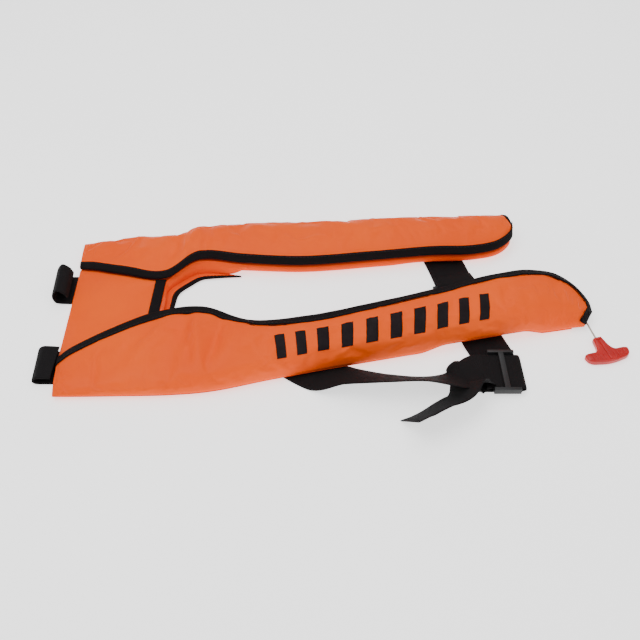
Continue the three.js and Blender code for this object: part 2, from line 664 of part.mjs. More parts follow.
const shoulderLength = 14;
const cylinderRadius = cylinderDiameter / 2;
const cylinderEnd = -bodyHalf.x - 3.2;
add('co2_cylinder', turned([
  [0, cylinderEnd - cylinderLength], [cylinderRadius - 2.6, cylinderEnd - cylinderLength + 2],
  [cylinderRadius, cylinderEnd - cylinderLength + 8], [cylinderRadius, cylinderEnd - shoulderLength],
  [cylinderRadius - 1.2, cylinderEnd - shoulderLength + 3], [neckRadius + 2.4, cylinderEnd - 4],
  [neckRadius, cylinderEnd], [neckRadius, neckEnd - 0.5], [pinRadius + fit, neckEnd - 0.5],
  [pinRadius + fit, neckEnd - 0.5 - pinStroke], [0, neckEnd - 0.5 - pinStroke],
], 24), materials.steel, inflator);
add('cylinder_seal', turned([
  [neckRadius + 0.3, -bodyHalf.x - 2.4], [neckRadius + 2.6, -bodyHalf.x - 2.4],
  [neckRadius + 2.6, -bodyHalf.x - 0.3], [neckRadius + 0.3, -bodyHalf.x - 0.3],
  [neckRadius + 0.3, -bodyHalf.x - 2.4],
], 20), materials.seal, inflator);
// The bladder's manifold stands up through the body beside the cylinder's neck, and a cap nut holds it.
const stemFoot = -bodyHalf.z - 1.6;
const nutBottom = bodyHalf.z + 0.4;
add('bladder_manifold', carve([
  rod(stemRadius, stemFoot, nutBottom + 3.4, stemAt.x, stemAt.y),
  rod(7.5, stemFoot - 0.4, stemFoot + 1.2, stemAt.x, stemAt.y),
]), materials.brass, inflator);
const hexagon = new THREE.Shape(steps(0, 2 * Math.PI, 6).slice(0, -1).map(
  (a) => new THREE.Vector2(stemAt.x + 5 * Math.cos(a), stemAt.y + 5 * Math.sin(a))));
hexagon.holes.push(new THREE.Path().absarc(stemAt.x, stemAt.y, stemRadius + fit, 0, 2 * Math.PI, true));
add('manifold_cap_nut', plate(hexagon, nutBottom, nutBottom + 3.2), materials.brass, inflator);
const clip = block(-10, -3, -bodyHalf.y - 3, -bodyHalf.y - 0.4, -4, 4);
add('status_clip', clip, finish(0x1f9a4a, 0.4), inflator);

// ---- Bladder: folded packs in each lobe and behind the neck ----
function bladderPack(sections) {
  const ring = ([a, b, z0, z1]) => steps(0, 2 * Math.PI, 12).slice(0, -1).map((angle) => {
    const [c, d] = [Math.cos(angle), Math.sin(angle)];
    const [u, v] = [Math.sign(c) * Math.abs(c) ** 0.6, Math.sign(d) * Math.abs(d) ** 0.6];
    return a.clone().lerp(b, (1 + u) / 2).setZ((z0 + z1) / 2 + (v * (z1 - z0)) / 2);
  });
  const rings = sections.map(ring);
  const count = rings[0].length;
  const points = rings.flat();
  const triangles = [];
  for (let i = 0; i + 1 < rings.length; i++) {
    for (let j = 0; j < count; j++) {
      const [a, b] = [i * count + j, i * count + ((j + 1) % count)];
      triangles.push(a, b, b + count, a, b + count, a + count);
    }
  }
  const last = (rings.length - 1) * count;
  for (let j = 1; j + 1 < count; j++) {
    triangles.push(0, j + 1, j, last, last + j, last + j + 1);
  }
  return closedGeometry(points, triangles);
}
const packGap = 1.2;
const lobePack = (lobe, list) => bladderPack(list.map(([x, s0, s1, top]) => {
  const f = lobe.frame(lobe.atX(x));
  return [f.at(s0 * stretch.y, 0), f.at(s1 * stretch.y, 0), f.under + clothThick + packGap, top * stretch.z];
}));
add('bladder_right', lobePack(rightLobe, [
  [264, 12, 36, 20], [250, 12, 40, 25], [236, 12, 44, 27], [226, 10, 46, 28], [215, 10, 48, 29],
  [160, 10, 46, 30],
  [142, 9, 32, 27], [134, 7, 12, 24], [104, 7, 12, 24], [70, 7, 16, 25], [-50, 7, 20, 25], [-62, 8, 46, 28],
  [-110, 8, 50, 27], [-150, 10, 62, 23], [-200, 18, 74, 17], [-250, 20, 60, 14],
]), materials.bladder);
add('bladder_left', lobePack(leftLobe, [
  [222, 10, 36, 20], [200, 8, 46, 25], [170, 8, 48, 26], [160, 8, 30, 27], [90, 8, 30, 27], [-75, 8, 34, 27],
  [-85, 8, 52, 27], [-130, 8, 48, 26], [-175, 8, 42, 20], [-210, 12, 58, 16], [-265, 14, 48, 13],
]), materials.bladder);
add('bladder_back', bladderPack(steps(0.05, 0.95, 6).map((w) => {
  const low = strapBed + clothThick + packGap;
  return [yokePoint(0.35, w), yokePoint(0.9, w), low, yokePoint(0.5, w).z - clothThick - packGap - 1];
})), materials.bladder);

// ---- Oral inflation tube in the left lobe ----
const oral = new THREE.Group();
oral.position.copy(onCover(-60, 103).setZ(14));
oral.rotation.z = THREE.MathUtils.degToRad(3.6);
jacket.add(oral);
const tubeOuter = oralTubeDiameter / 2;
const tubeInner = tubeOuter - 2.2;
add('oral_tube', turned([
  [0, 0], [tubeOuter + 3, 0], [tubeOuter + 3, 3], [tubeOuter, 6], [tubeOuter, oralTubeLength],
  [tubeInner, oralTubeLength], [tubeInner, 8], [0, 8],
], 20), materials.seal, oral);
const valveBore = 2.6;
const mouthRadius = tubeOuter + 0.8;
const mouthLength = 12;
const valveStart = oralTubeLength - 14;
const mouthStart = oralTubeLength + gap;
add('oral_valve', turned([
  [valveBore, valveStart], [tubeInner - fit, valveStart], [tubeInner - fit, mouthStart],
  [mouthRadius, mouthStart],
  [mouthRadius, mouthStart + mouthLength], [valveBore + 1.4, mouthStart + mouthLength],
  [valveBore + 1.4, mouthStart + 2], [valveBore, mouthStart + 2], [valveBore, valveStart],
], 20), materials.blackPlastic, oral);
const poppetHead = valveBore + 1.4 - fit;
add('valve_poppet', turned([
  [0, valveStart + 2], [1.4, valveStart + 2], [1.4, mouthStart + 6], [poppetHead, mouthStart + 6],
  [poppetHead, mouthStart + 8.4], [0, mouthStart + 8.4],
], 16), finish(0x2f6fb0, 0.4), oral);
add('valve_spring', spring(2.7, 0.3, mouthStart + 2.6, mouthStart + 5.4, 2), materials.steel, oral);
const capInner = mouthRadius + gap;
const capEnd = mouthStart + mouthLength + gap;
add('dust_cap', turned([
  [0, capEnd], [capInner, capEnd], [capInner, capEnd - 10], [capInner + 1.2, capEnd - 10],
  [capInner + 1.2, capEnd + 1.6], [0, capEnd + 1.6],
], 20), materials.redPlastic, oral);

// ---- Whistle ----
const whistle = new THREE.Group();
whistle.position.copy(onCover(128, 115).setZ(12));
whistle.rotation.z = oral.rotation.z;
jacket.add(whistle);
add('whistle', carve(
  [block(-22, 18, -7, 7, -5, 5), block(-22, -12, -9, 9, -3, 3)],
  [block(-23, -2, -5, 5, -1, 1), block(-4, 2, -5, 5, -1, 6), block(-2, 15, -5, 5, -3.4, 3.4)],
), materials.whistle, whistle);

// ---- Pull handle and its lanyard ----
const pull = new THREE.Group(); // its own -Y is the direction of the pull
pull.position.copy(onCover(313, -50));
pull.rotation.z = THREE.MathUtils.degToRad(14.5);
jacket.add(pull);
const half = handleSpan / 2;
const handleCurveSegments = 8;
const handleShape = new THREE.Shape();
handleShape.moveTo(-5.5, 0).lineTo(-6.5, -6);
handleShape.quadraticCurveTo(-8, 16 - handleReach, 12 - half, 17 - handleReach);
handleShape.quadraticCurveTo(-half - 2, 18 - handleReach, -half, 12 - handleReach);
handleShape.quadraticCurveTo(1 - half, 3 - handleReach, 12 - half, 2 - handleReach);
handleShape.quadraticCurveTo(0, -handleReach - 2, half - 12, 2 - handleReach);
handleShape.quadraticCurveTo(half - 1, 3 - handleReach, half, 12 - handleReach);
handleShape.quadraticCurveTo(half + 2, 18 - handleReach, half - 12, 17 - handleReach);
handleShape.quadraticCurveTo(8, 16 - handleReach, 6.5, -6);
handleShape.lineTo(5.5, 0);
const handlePlate = plate(handleShape, gap, gap + handleThick, handleCurveSegments);
add('pull_handle', handlePlate, materials.redPlastic, pull);

const lanyardHeight = gap + handleThick / 2;
const pullAt = (x, y, z) => pull.localToWorld(vec(x, y, z));
jacket.updateMatrixWorld(true);
const cord = (points, divisions) => cordGeometry(points, lanyardDiameter, divisions);
add('lanyard_outer', cord([
  pullAt(0, 0.4, lanyardHeight), pullAt(0, 10, lanyardHeight + 1), pullAt(0, 22, lanyardHeight + 2.5),
  pullAt(0, 34, lanyardHeight + 3), pullAt(0, 46, lanyardHeight + 3),
], 14), materials.lanyard);
const leverEye = inflator.localToWorld(
  vec(pivotX + leverReach * Math.cos(leverRest), leverReach * Math.sin(leverRest), leverThick / 2 + 1.6));
add('lanyard_inner', cord([
  leverEye, onCover(118, -38).setZ(27), onCover(138, -30).setZ(33), onCover(190, -14).setZ(34),
  onCover(240, -2).setZ(31), onCover(272, 6).setZ(23), onCover(290, 6).setZ(15),
  pullAt(1, 50, lanyardHeight + 3.5),
], 40), materials.lanyard);

// The origin is under the middle of the jacket's outline, on the table. The thin lanyard doesn't count.
const outline = new THREE.Box3();
jacket.updateMatrixWorld(true);
jacket.traverse((o) => {
  if (o.isMesh && !o.name.startsWith('lanyard')) outline.expandByObject(o, true);
});
const middle = outline.getCenter(vec(0, 0));
jacket.position.set(-middle.x, -middle.y, -outline.min.z);
const whole = new THREE.Group();
whole.add(jacket);

export default whole;
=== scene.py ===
"""An inflatable life jacket lying packed on a pale table: covers, webbing, fittings and the folded bladder."""
import json
import math

import bmesh
import bpy
import numpy as np
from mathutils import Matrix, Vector, noise

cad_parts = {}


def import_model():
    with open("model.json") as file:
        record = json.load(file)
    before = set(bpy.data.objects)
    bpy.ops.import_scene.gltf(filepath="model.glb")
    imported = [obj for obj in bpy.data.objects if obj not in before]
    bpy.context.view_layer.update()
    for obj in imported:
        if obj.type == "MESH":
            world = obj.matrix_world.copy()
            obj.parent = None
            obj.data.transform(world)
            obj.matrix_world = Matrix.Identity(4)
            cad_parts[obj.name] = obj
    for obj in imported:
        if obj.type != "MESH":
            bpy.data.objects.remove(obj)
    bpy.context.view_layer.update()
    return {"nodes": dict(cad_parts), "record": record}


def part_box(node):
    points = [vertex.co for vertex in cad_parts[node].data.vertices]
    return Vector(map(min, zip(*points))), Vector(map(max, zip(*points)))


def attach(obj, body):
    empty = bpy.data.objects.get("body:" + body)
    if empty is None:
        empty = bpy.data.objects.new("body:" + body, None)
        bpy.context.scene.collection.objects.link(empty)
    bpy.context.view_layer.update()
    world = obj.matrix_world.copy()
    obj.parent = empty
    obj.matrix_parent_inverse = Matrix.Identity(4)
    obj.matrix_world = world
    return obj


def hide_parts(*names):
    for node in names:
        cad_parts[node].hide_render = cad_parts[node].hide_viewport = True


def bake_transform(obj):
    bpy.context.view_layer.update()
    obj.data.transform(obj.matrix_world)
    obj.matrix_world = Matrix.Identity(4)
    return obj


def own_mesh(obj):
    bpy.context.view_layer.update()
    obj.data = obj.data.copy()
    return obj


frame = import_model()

# ---- Sizes, in millimetres unless a name says otherwise ----
MM = 0.001
CLOTH = 1.1
BINDING_WIDTH = {"right": 13.5, "left": 10.5, "neck": 12.0}
BINDING = 1.0
WEB_WIDTH = 50.0
WEB = 1.6
GAP = 0.4
STITCH = 3.2
FOLD = 6.0
TURN = math.radians(150)
FULLNESS = 0.75
FLAP_START = -118.0
CLOTH_FRAMES = 20
TUCK_DROP = 5.5
TUCK = 9.0

# The covers are drawn around the slider's own place, so that they follow the frame's origin.
slider_low, slider_high = (np.array(c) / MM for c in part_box("slider"))
SLIDER_DRAWN = (195.0, -104.0)
ORIGIN = np.array([
    (slider_low[0] + slider_high[0]) / 2 - SLIDER_DRAWN[0],
    (slider_low[1] + slider_high[1]) / 2 - SLIDER_DRAWN[1], -GAP])


def world(points):
    """Drawing millimetres to the frame's metres."""
    return (np.asarray(points, float) + ORIGIN) * MM


# ---- Curves and noise ----
def catmull(points, t):
    """Centripetal Catmull-Rom through points, at parameters t from 0 to 1, evenly shared between the points."""
    p = np.asarray(points, float)
    p = np.vstack([2 * p[0] - p[1], p, 2 * p[-1] - p[-2]])
    spans = len(p) - 3
    s = np.clip(np.asarray(t, float), 0, 1) * spans
    i = np.minimum(s.astype(int), spans - 1)
    w = (s - i)[..., None]
    a, b, c, d = p[i], p[i + 1], p[i + 2], p[i + 3]
    root = [np.linalg.norm(v, axis=-1, keepdims=True) ** 0.5 for v in (b - a, c - b, d - c)]
    root[1] = np.where(root[1] < 1e-4, 1, root[1])
    root[0] = np.where(root[0] < 1e-4, root[1], root[0])
    root[2] = np.where(root[2] < 1e-4, root[1], root[2])
    m1 = ((b - a) / root[0] - (c - a) / (root[0] + root[1]) + (c - b) / root[1]) * root[1]
    m2 = ((c - b) / root[1] - (d - b) / (root[1] + root[2]) + (d - c) / root[2]) * root[1]
    w2, w3 = w * w, w * w * w
    return (2 * w3 - 3 * w2 + 1) * b + (w3 - 2 * w2 + w) * m1 + (3 * w2 - 2 * w3) * c + (w3 - w2) * m2


def smoothstep(x, a, b):
    t = np.clip((x - a) / (b - a), 0, 1)
    return t * t * (3 - 2 * t)


def bump(x, a, b, blend):
    return smoothstep(x, a - blend, a) * (1 - smoothstep(x, b, b + blend))


def wobble(points, size, seed):
    """Smooth noise from -1 to 1 at points, with features of about size millimetres."""
    flat = np.asarray(points, float).reshape(-1, 3) / size + seed
    values = np.array([noise.noise(Vector(p)) for p in flat])
    return values.reshape(np.asarray(points).shape[:-1])


def distances(path):
    """How far along a path each of its points is, in millimetres."""
    return np.r_[0, np.cumsum(np.linalg.norm(np.diff(path, axis=0), axis=1))]


def spread(u, v):
    """Texture coordinates in metres for a grid, from millimetres across and along."""
    return np.stack(np.broadcast_arrays(u[None, :] * MM, v[:, None] * MM), axis=-1)


def normals(grid):
    du = np.gradient(grid, axis=0)
    dv = np.gradient(grid, axis=1)
    n = np.cross(du, dv)
    return n / np.maximum(np.linalg.norm(n, axis=-1, keepdims=True), 1e-9)


# ---- Meshes ----
def make_object(name, vertices, faces, material, uvs=None, smooth=True):
    mesh = bpy.data.meshes.new(name)
    mesh.from_pydata([tuple(v) for v in vertices], [], faces)
    if uvs is not None:
        layer = mesh.uv_layers.new(name="UVMap")
        index = np.zeros(len(mesh.loops), int)
        mesh.loops.foreach_get("vertex_index", index)
        layer.data.foreach_set("uv", np.asarray(uvs, float)[index].ravel())
    bm = bmesh.new()
    bm.from_mesh(mesh)
    bmesh.ops.recalc_face_normals(bm, faces=bm.faces)
    bm.to_mesh(mesh)
    bm.free()
    mesh.materials.append(material)
    mesh.polygons.foreach_set("use_smooth", [smooth] * len(mesh.polygons))
    obj = bpy.data.objects.new(name, mesh)
    bpy.context.scene.collection.objects.link(obj)
    return obj


def tube_faces(rows, columns, wrap, caps=True):
    """Faces of rows x columns points; wrap joins the last column to the first."""
    faces = []
    last = columns if wrap else columns - 1
    for i in range(rows - 1):
        for j in range(last):
            k = (j + 1) % columns
            faces.append((i * columns + j, (i + 1) * columns + j, (i + 1) * columns + k, i * columns + k))
    if wrap and caps:
        faces.append(tuple(range(columns)))
        faces.append(tuple((rows - 1) * columns + j for j in range(columns)))
    return faces


def sweep(name, sections, material, uvs=None):
    """A closed solid through a (rows, columns, 3) array of closed sections."""
    sections = np.asarray(sections)
    rows, columns = sections.shape[:2]
    flat_uv = None if uvs is None else np.asarray(uvs).reshape(-1, 2)
    return make_object(name, world(sections.reshape(-1, 3)), tube_faces(rows, columns, True), material, flat_uv)


def slab(name, outer, inner, material):
    """A cloth between two grids: each row's section runs along the outer grid and back along the inner one."""
    sections = np.concatenate([outer, inner[:, ::-1]], axis=1)
    across = np.r_[0, np.cumsum(np.linalg.norm(np.diff(outer, axis=1), axis=2).mean(axis=0))]
    return sweep(name, sections, material, spread(np.r_[across, across[::-1]], distances(outer[:, 0])))


def stitches(name, path, away, up, material, length=STITCH, gap=1.3, radius=0.32):
    """Thread dashes along a path, standing slightly proud along up."""
    path = np.asarray(path, float)
    up = np.broadcast_to(up, path.shape)
    steps = distances(path)
    pitch = length + gap
    vertices, faces = [], []
    for start in np.arange(pitch * 0.5, steps[-1] - length, pitch):
        at = start + length * np.array([0.0, 0.25, 0.75, 1.0])
        lift = radius * np.array([-0.6, 0.7, 0.7, -0.6])
        p = np.stack([np.interp(at, steps, path[:, k]) for k in range(3)], axis=1)
        n = np.stack([np.interp(at, steps, up[:, k]) for k in range(3)], axis=1)
        n /= np.linalg.norm(n, axis=1, keepdims=True)
        along = p[-1] - p[0]
        side = np.cross(along, n[1])
        side /= np.linalg.norm(side)
        base = len(vertices)
        for row, q in enumerate(p):
            centre = q + n[row] * (lift[row] + away)
            for a in range(5):
                angle = 2 * math.pi * a / 5
                offset = radius * (math.cos(angle) * side + math.sin(angle) * n[row])
                vertices.append(centre + offset)
        faces += [tuple(base + k for k in f) for f in tube_faces(4, 5, True)]
    return make_object(name, world(vertices), faces, material)


def joined(objects, name):
    """Joins objects into the first one."""
    first = objects[0]
    with bpy.context.temp_override(active_object=first, selected_editable_objects=objects):
        bpy.ops.object.join()
    first.name = name
    return first


# ---- Materials ----
def principled(name, color, roughness, metallic=0.0, **inputs):
    material = bpy.data.materials.new(name)
    material.use_nodes = True
    nodes, links = material.node_tree.nodes, material.node_tree.links
    shader = nodes["Principled BSDF"]
    shader.inputs["Base Color"].default_value = (*color, 1)
    shader.inputs["Roughness"].default_value = roughness
    shader.inputs["Metallic"].default_value = metallic
    for key, value in inputs.items():
        shader.inputs[key.replace("_", " ")].default_value = value
    return material, nodes, links, shader


def coordinates(nodes, links, kind, scale=(1, 1, 1)):
    source = nodes.new("ShaderNodeTexCoord")
    mapping = nodes.new("ShaderNodeMapping")
    mapping.inputs["Scale"].default_value = scale
    links.new(source.outputs[kind], mapping.inputs["Vector"])
    return mapping.outputs["Vector"]


def noise_texture(nodes, links, vector, scale, detail=2.0, roughness=0.5):
    texture = nodes.new("ShaderNodeTexNoise")
    texture.inputs["Scale"].default_value = scale
    texture.inputs["Detail"].default_value = detail
    texture.inputs["Roughness"].default_value = roughness
    links.new(vector, texture.inputs["Vector"])
    return texture.outputs["Fac"]


def tinted(nodes, links, shader, factor, dark, light, low=0.35, high=0.65):
    ramp = nodes.new("ShaderNodeValToRGB")
    ramp.color_ramp.elements[0].position = low
    ramp.color_ramp.elements[1].position = high
    ramp.color_ramp.elements[0].color = (*dark, 1)
    ramp.color_ramp.elements[1].color = (*light, 1)
    links.new(factor, ramp.inputs["Fac"])
    links.new(ramp.outputs["Color"], shader.inputs["Base Color"])
    return ramp


def ranged(nodes, links, factor, low, high, socket):
    spread = nodes.new("ShaderNodeMapRange")
    spread.inputs["To Min"].default_value = low
    spread.inputs["To Max"].default_value = high
    links.new(factor, spread.inputs["Value"])
    links.new(spread.outputs["Result"], socket)


def bumped(nodes, links, shader, height, strength, distance, previous=None):
    node = nodes.new("ShaderNodeBump")
    node.inputs["Strength"].default_value = strength
    node.inputs["Distance"].default_value = distance
    links.new(height, node.inputs["Height"])
    if previous is not None:
        links.new(previous.outputs["Normal"], node.inputs["Normal"])
    links.new(node.outputs["Normal"], shader.inputs["Normal"])
    return node


def weave_height(nodes, links, vector, scale):
    """Two crossed sets of threads."""
    waves = []
    for direction in ("X", "Y"):
        wave = nodes.new("ShaderNodeTexWave")
        wave.bands_direction = direction
        wave.inputs["Scale"].default_value = scale
        wave.inputs["Distortion"].default_value = 0.4
        wave.inputs["Detail"].default_value = 1.0
        links.new(vector, wave.inputs["Vector"])
        waves.append(wave.outputs["Fac"])
    mix = nodes.new("ShaderNodeMath")
    mix.operation = "MULTIPLY"
    links.new(waves[0], mix.inputs[0])
    links.new(waves[1], mix.inputs[1])
    return mix.outputs["Value"]


def coated_cloth(name, dark, light, roughness):
    """Coated woven polyester: a fine weave under a satin skin, with soft handling creases."""
    material, nodes, links, shader = principled(name, light, roughness)
    shader.inputs["Specular IOR Level"].default_value = 0.14
    vector = coordinates(nodes, links, "Object")
    tinted(nodes, links, shader, noise_texture(nodes, links, vector, 9, 4, 0.6), dark, light, 0.3, 0.7)
    ranged(nodes, links, noise_texture(nodes, links, vector, 55, 3), roughness - 0.06, roughness + 0.08,
           shader.inputs["Roughness"])
    crease = bumped(nodes, links, shader, noise_texture(nodes, links, vector, 38, 5, 0.55), 0.22, 0.0016)
    weave = weave_height(nodes, links, coordinates(nodes, links, "UV"), 460)
    bumped(nodes, links, shader, weave, 0.16, 0.00012, crease)
    return material


def woven_tape(name, dark, light, roughness, rib, strength):
    """Woven tape or webbing: ribs across it, from a UV map in metres with u across and v along."""
    material, nodes, links, shader = principled(name, light, roughness)
    shader.inputs["Specular IOR Level"].default_value = 0.12
    vector = coordinates(nodes, links, "UV")
    fine = noise_texture(nodes, links, coordinates(nodes, links, "UV", (900, 2600, 1)), 1.0, 2)
    tinted(nodes, links, shader, fine, dark, light, 0.25, 0.8)
    ribs = weave_height(nodes, links, vector, rib)
    first = bumped(nodes, links, shader, ribs, strength, 0.0004)
    bumped(nodes, links, shader, fine, 0.3, 0.0002, first)
    return material


def moulded(name, color, roughness, grain=0.10, coat=0.0, gloss=0.35):
    material, nodes, links, shader = principled(name, color, roughness, Coat_Weight=coat, Coat_Roughness=0.12)
    shader.inputs["Specular IOR Level"].default_value = gloss
    vector = coordinates(nodes, links, "Object")
    lighter = tuple(min(1, c * 1.25 + 0.004) for c in color)
    tinted(nodes, links, shader, noise_texture(nodes, links, vector, 70, 5), color, lighter, 0.35, 0.75)
    ranged(nodes, links, noise_texture(nodes, links, vector, 240, 3), roughness - 0.05, roughness + 0.1,
           shader.inputs["Roughness"])
    bumped(nodes, links, shader, noise_texture(nodes, links, vector, 2600, 2), grain, 0.0001)
    return material


def metal(name, color, roughness, metallic=1.0, stretch=(40, 40, 900)):
    material, nodes, links, shader = principled(name, color, roughness, metallic)
    brushed = noise_texture(nodes, links, coordinates(nodes, links, "Object", stretch), 1.0, 4)
    lighter = tuple(min(1, c * 1.15) for c in color)
    tinted(nodes, links, shader, brushed, color, lighter, 0.3, 0.7)
    ranged(nodes, links, brushed, roughness - 0.08, roughness + 0.12, shader.inputs["Roughness"])
    bumped(nodes, links, shader, brushed, 0.06, 0.0001)
    return material


COVER = coated_cloth("cover_cloth", (0.94, 0.088, 0.0), (1.0, 0.112, 0.0002), 0.5)
# The lower cloth is the covers' own orange painted darker: painted shade for the cloth that lies under and
# inside the lobes.
LOWER_PAINTED_SHADE = coated_cloth("lower_cloth", (0.84, 0.066, 0.0), (0.94, 0.088, 0.0002), 0.58)
BLADDER = coated_cloth("bladder_cloth", (0.80, 0.42, 0.015), (0.92, 0.52, 0.02), 0.42)
TAPE = woven_tape("binding_tape", (0.004, 0.0028, 0.0034), (0.011, 0.008, 0.009), 0.82, 620, 0.5)
WEBBING = woven_tape("webbing", (0.0045, 0.004, 0.0044), (0.018, 0.016, 0.017), 0.78, 330, 0.9)
HOOKS = woven_tape("hook_tape", (0.004, 0.004, 0.004), (0.02, 0.02, 0.02), 0.95, 900, 1.0)
PRINT = moulded("printed_mark", (0.010, 0.006, 0.007), 0.7, 0.06, 0.0, 0.12)
THREAD = moulded("thread", (0.02, 0.016, 0.017), 0.8, 0.2)
ORANGE_THREAD = moulded("orange_thread", (0.72, 0.06, 0.008), 0.8, 0.2)
BLACK = moulded("black_plastic", (0.010, 0.010, 0.011), 0.4, 0.2)
RED = moulded("red_plastic", (0.48, 0.006, 0.004), 0.35, 0.1, 0.2)
HANDLE = moulded("handle_plastic", (0.46, 0.004, 0.003), 0.34, 0.12, 0.25)
GREEN = moulded("green_plastic", (0.02, 0.35, 0.08), 0.4)
BLUE = moulded("blue_plastic", (0.03, 0.16, 0.42), 0.45)
WHISTLE = moulded("whistle_plastic", (0.85, 0.36, 0.005), 0.3, 0.05, 0.3)
RUBBER = moulded("seal_rubber", (0.012, 0.012, 0.013), 0.75, 0.3)
STEEL = metal("steel", (0.55, 0.56, 0.58), 0.3)
CYLINDER = metal("cylinder_steel", (0.36, 0.38, 0.40), 0.36, 0.55)
BRASS = metal("brass", (0.62, 0.42, 0.16), 0.32)
CORD = woven_tape("lanyard_cord", (0.36, 0.32, 0.26), (0.62, 0.57, 0.48), 0.85, 900, 0.9)

MATERIAL_OF_SLOT = {
    "cover_cloth": COVER, "lower_cloth": LOWER_PAINTED_SHADE, "bladder_cloth": BLADDER, "binding_tape": TAPE,
    "webbing": WEBBING,
    "hook_tape": HOOKS, "black_plastic": BLACK, "red_plastic": RED, "handle_plastic": HANDLE,
    "green_plastic": GREEN,
    "blue_plastic": BLUE, "whistle_plastic": WHISTLE, "seal_rubber": RUBBER, "steel": STEEL,
    "cylinder_steel": CYLINDER, "brass": BRASS, "lanyard_cord": CORD,
}
SLOT_OF_NODE = {row["node"]: row["material_slot"] for row in frame["record"]["subparts"]}
BODY_OF_NODE = {n: body for body, nodes in frame["record"]["behaviour"]["bodies"].items() for n in nodes}


def settle(piece, body, slot, *nodes):
    """Places a piece on its body and hides the frame's nodes that it stands for; its slot is not used."""
    if body:
        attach(piece, body)
    if nodes:
        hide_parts(*nodes)
    return piece


# ---- Camera ----
def make_camera():
    camera = bpy.data.objects.new("camera", bpy.data.cameras.new("camera"))
    bpy.context.scene.collection.objects.link(camera)
    camera.location = world([-12, -700, 686])
    camera.rotation_euler = (math.radians(45), 0, 0)
    camera.data.lens = 45
    camera.data.sensor_width = 36
    camera.data.clip_start = 0.01
    bpy.context.scene.camera = camera


make_camera()


# ---- Floor and light ----
def make_studio():
    floor, nodes, links, shader = principled("pale_floor", (0.88, 0.88, 0.885), 0.7)
    shader.inputs["Specular IOR Level"].default_value = 0.1
    shader.inputs["Emission Color"].default_value = (1, 1, 1, 1)
    shader.inputs["Emission Strength"].default_value = 1.3
    fine = noise_texture(nodes, links, coordinates(nodes, links, "Object"), 3, 2)
    tinted(nodes, links, shader, fine, (0.87, 0.87, 0.875), (0.9, 0.9, 0.9))
    mesh = bpy.data.meshes.new("floor")
    reach = 6.0
    corners = [(x * reach, y * reach, 0) for x, y in ((-1, -1), (1, -1), (1, 1), (-1, 1))]
    mesh.from_pydata(corners, [], [(0, 1, 2, 3)])
    mesh.materials.append(floor)
    plane = bpy.data.objects.new("floor", mesh)
    plane.location.z = -0.0004
    bpy.context.scene.collection.objects.link(plane)
    sky = bpy.data.worlds.new("studio")
    sky.use_nodes = True
    sky.node_tree.nodes["Background"].inputs["Color"].default_value = (1, 1, 1, 1)
    sky.node_tree.nodes["Background"].inputs["Strength"].default_value = 0.5
    bpy.context.scene.world = sky
    for name, place, size, power in (
        ("key", (-0.7, -0.2, 1.7), 1.4, 18), ("fill", (1.2, -1.0, 1.4), 1.2, 8),
        ("top", (0.1, 0.9, 1.8), 1.6, 11),
    ):
        lamp = bpy.data.objects.new(name, bpy.data.lights.new(name, "AREA"))
        lamp.data.shape = "DISK"
        lamp.data.size = size
        lamp.data.energy = power
        lamp.location = place
        lamp.rotation_euler = (-Vector(place)).to_track_quat("-Z", "Y").to_euler()
        bpy.context.scene.collection.objects.link(lamp)


make_studio()


# ---- The lobes' covers ----
# Outer fold x, y, free edge x, y, crown height and free edge height of each cross-section, from back to tip.
RIGHT = np.array([
    (-306, -139, -312, -84, 9, 9), (-290, -139, -300, -74, 15, 13), (-240, -138, -258, -49, 22, 19),
    (-176, -136, -205, -24, 27, 23), (-132, -131, -151, -21, 34, 29), (-70, -115, -93, -46, 37, 32),
    (-10, -100, -26, -40, 38, 33), (65, -83, 53, -20, 40, 35), (138, -66, 131, 4, 41, 36),
    (203, -51, 199, 28, 41, 36), (250, -41, 245, 40, 38, 33), (276, -36, 278, 38, 32, 28),
    (292, -33, 300, 23, 26, 22), (300, -32, 313, 2, 19, 16), (303, -31.5, 315, -13, 14, 12),
], float)
LEFT = np.array([
    (-323, 121, -319, 71, 9, 9), (-305, 123, -300, 65, 15, 13), (-255, 128, -259, 51, 21, 18),
    (-206, 131, -205, 42, 26, 19), (-168, 139, -165, 72, 34, 24), (-110, 146, -108, 68, 36, 22),
    (-30, 151, -32, 65, 36, 21), (60, 157, 58, 75, 36, 21), (130, 161, 130, 84, 36, 21),
    (190, 165, 186, 88, 35, 20), (215, 166, 220, 100, 32, 19), (228, 167, 240, 122, 28, 18),
    (236, 168, 243, 142, 24, 16),
], float)
STRAP_BED = WEB + 2 * GAP
BUCKLE_BED = 9 + 2 * GAP


def right_lift(x):
    return GAP + (STRAP_BED - GAP) * bump(x, -400, 80, 50) + (BUCKLE_BED - GAP) * bump(x, 135, 225, 35)


def left_lift(x):
    return GAP + (STRAP_BED - GAP) * np.maximum(bump(x, -400, -180, 40), bump(x, 110, 190, 30))


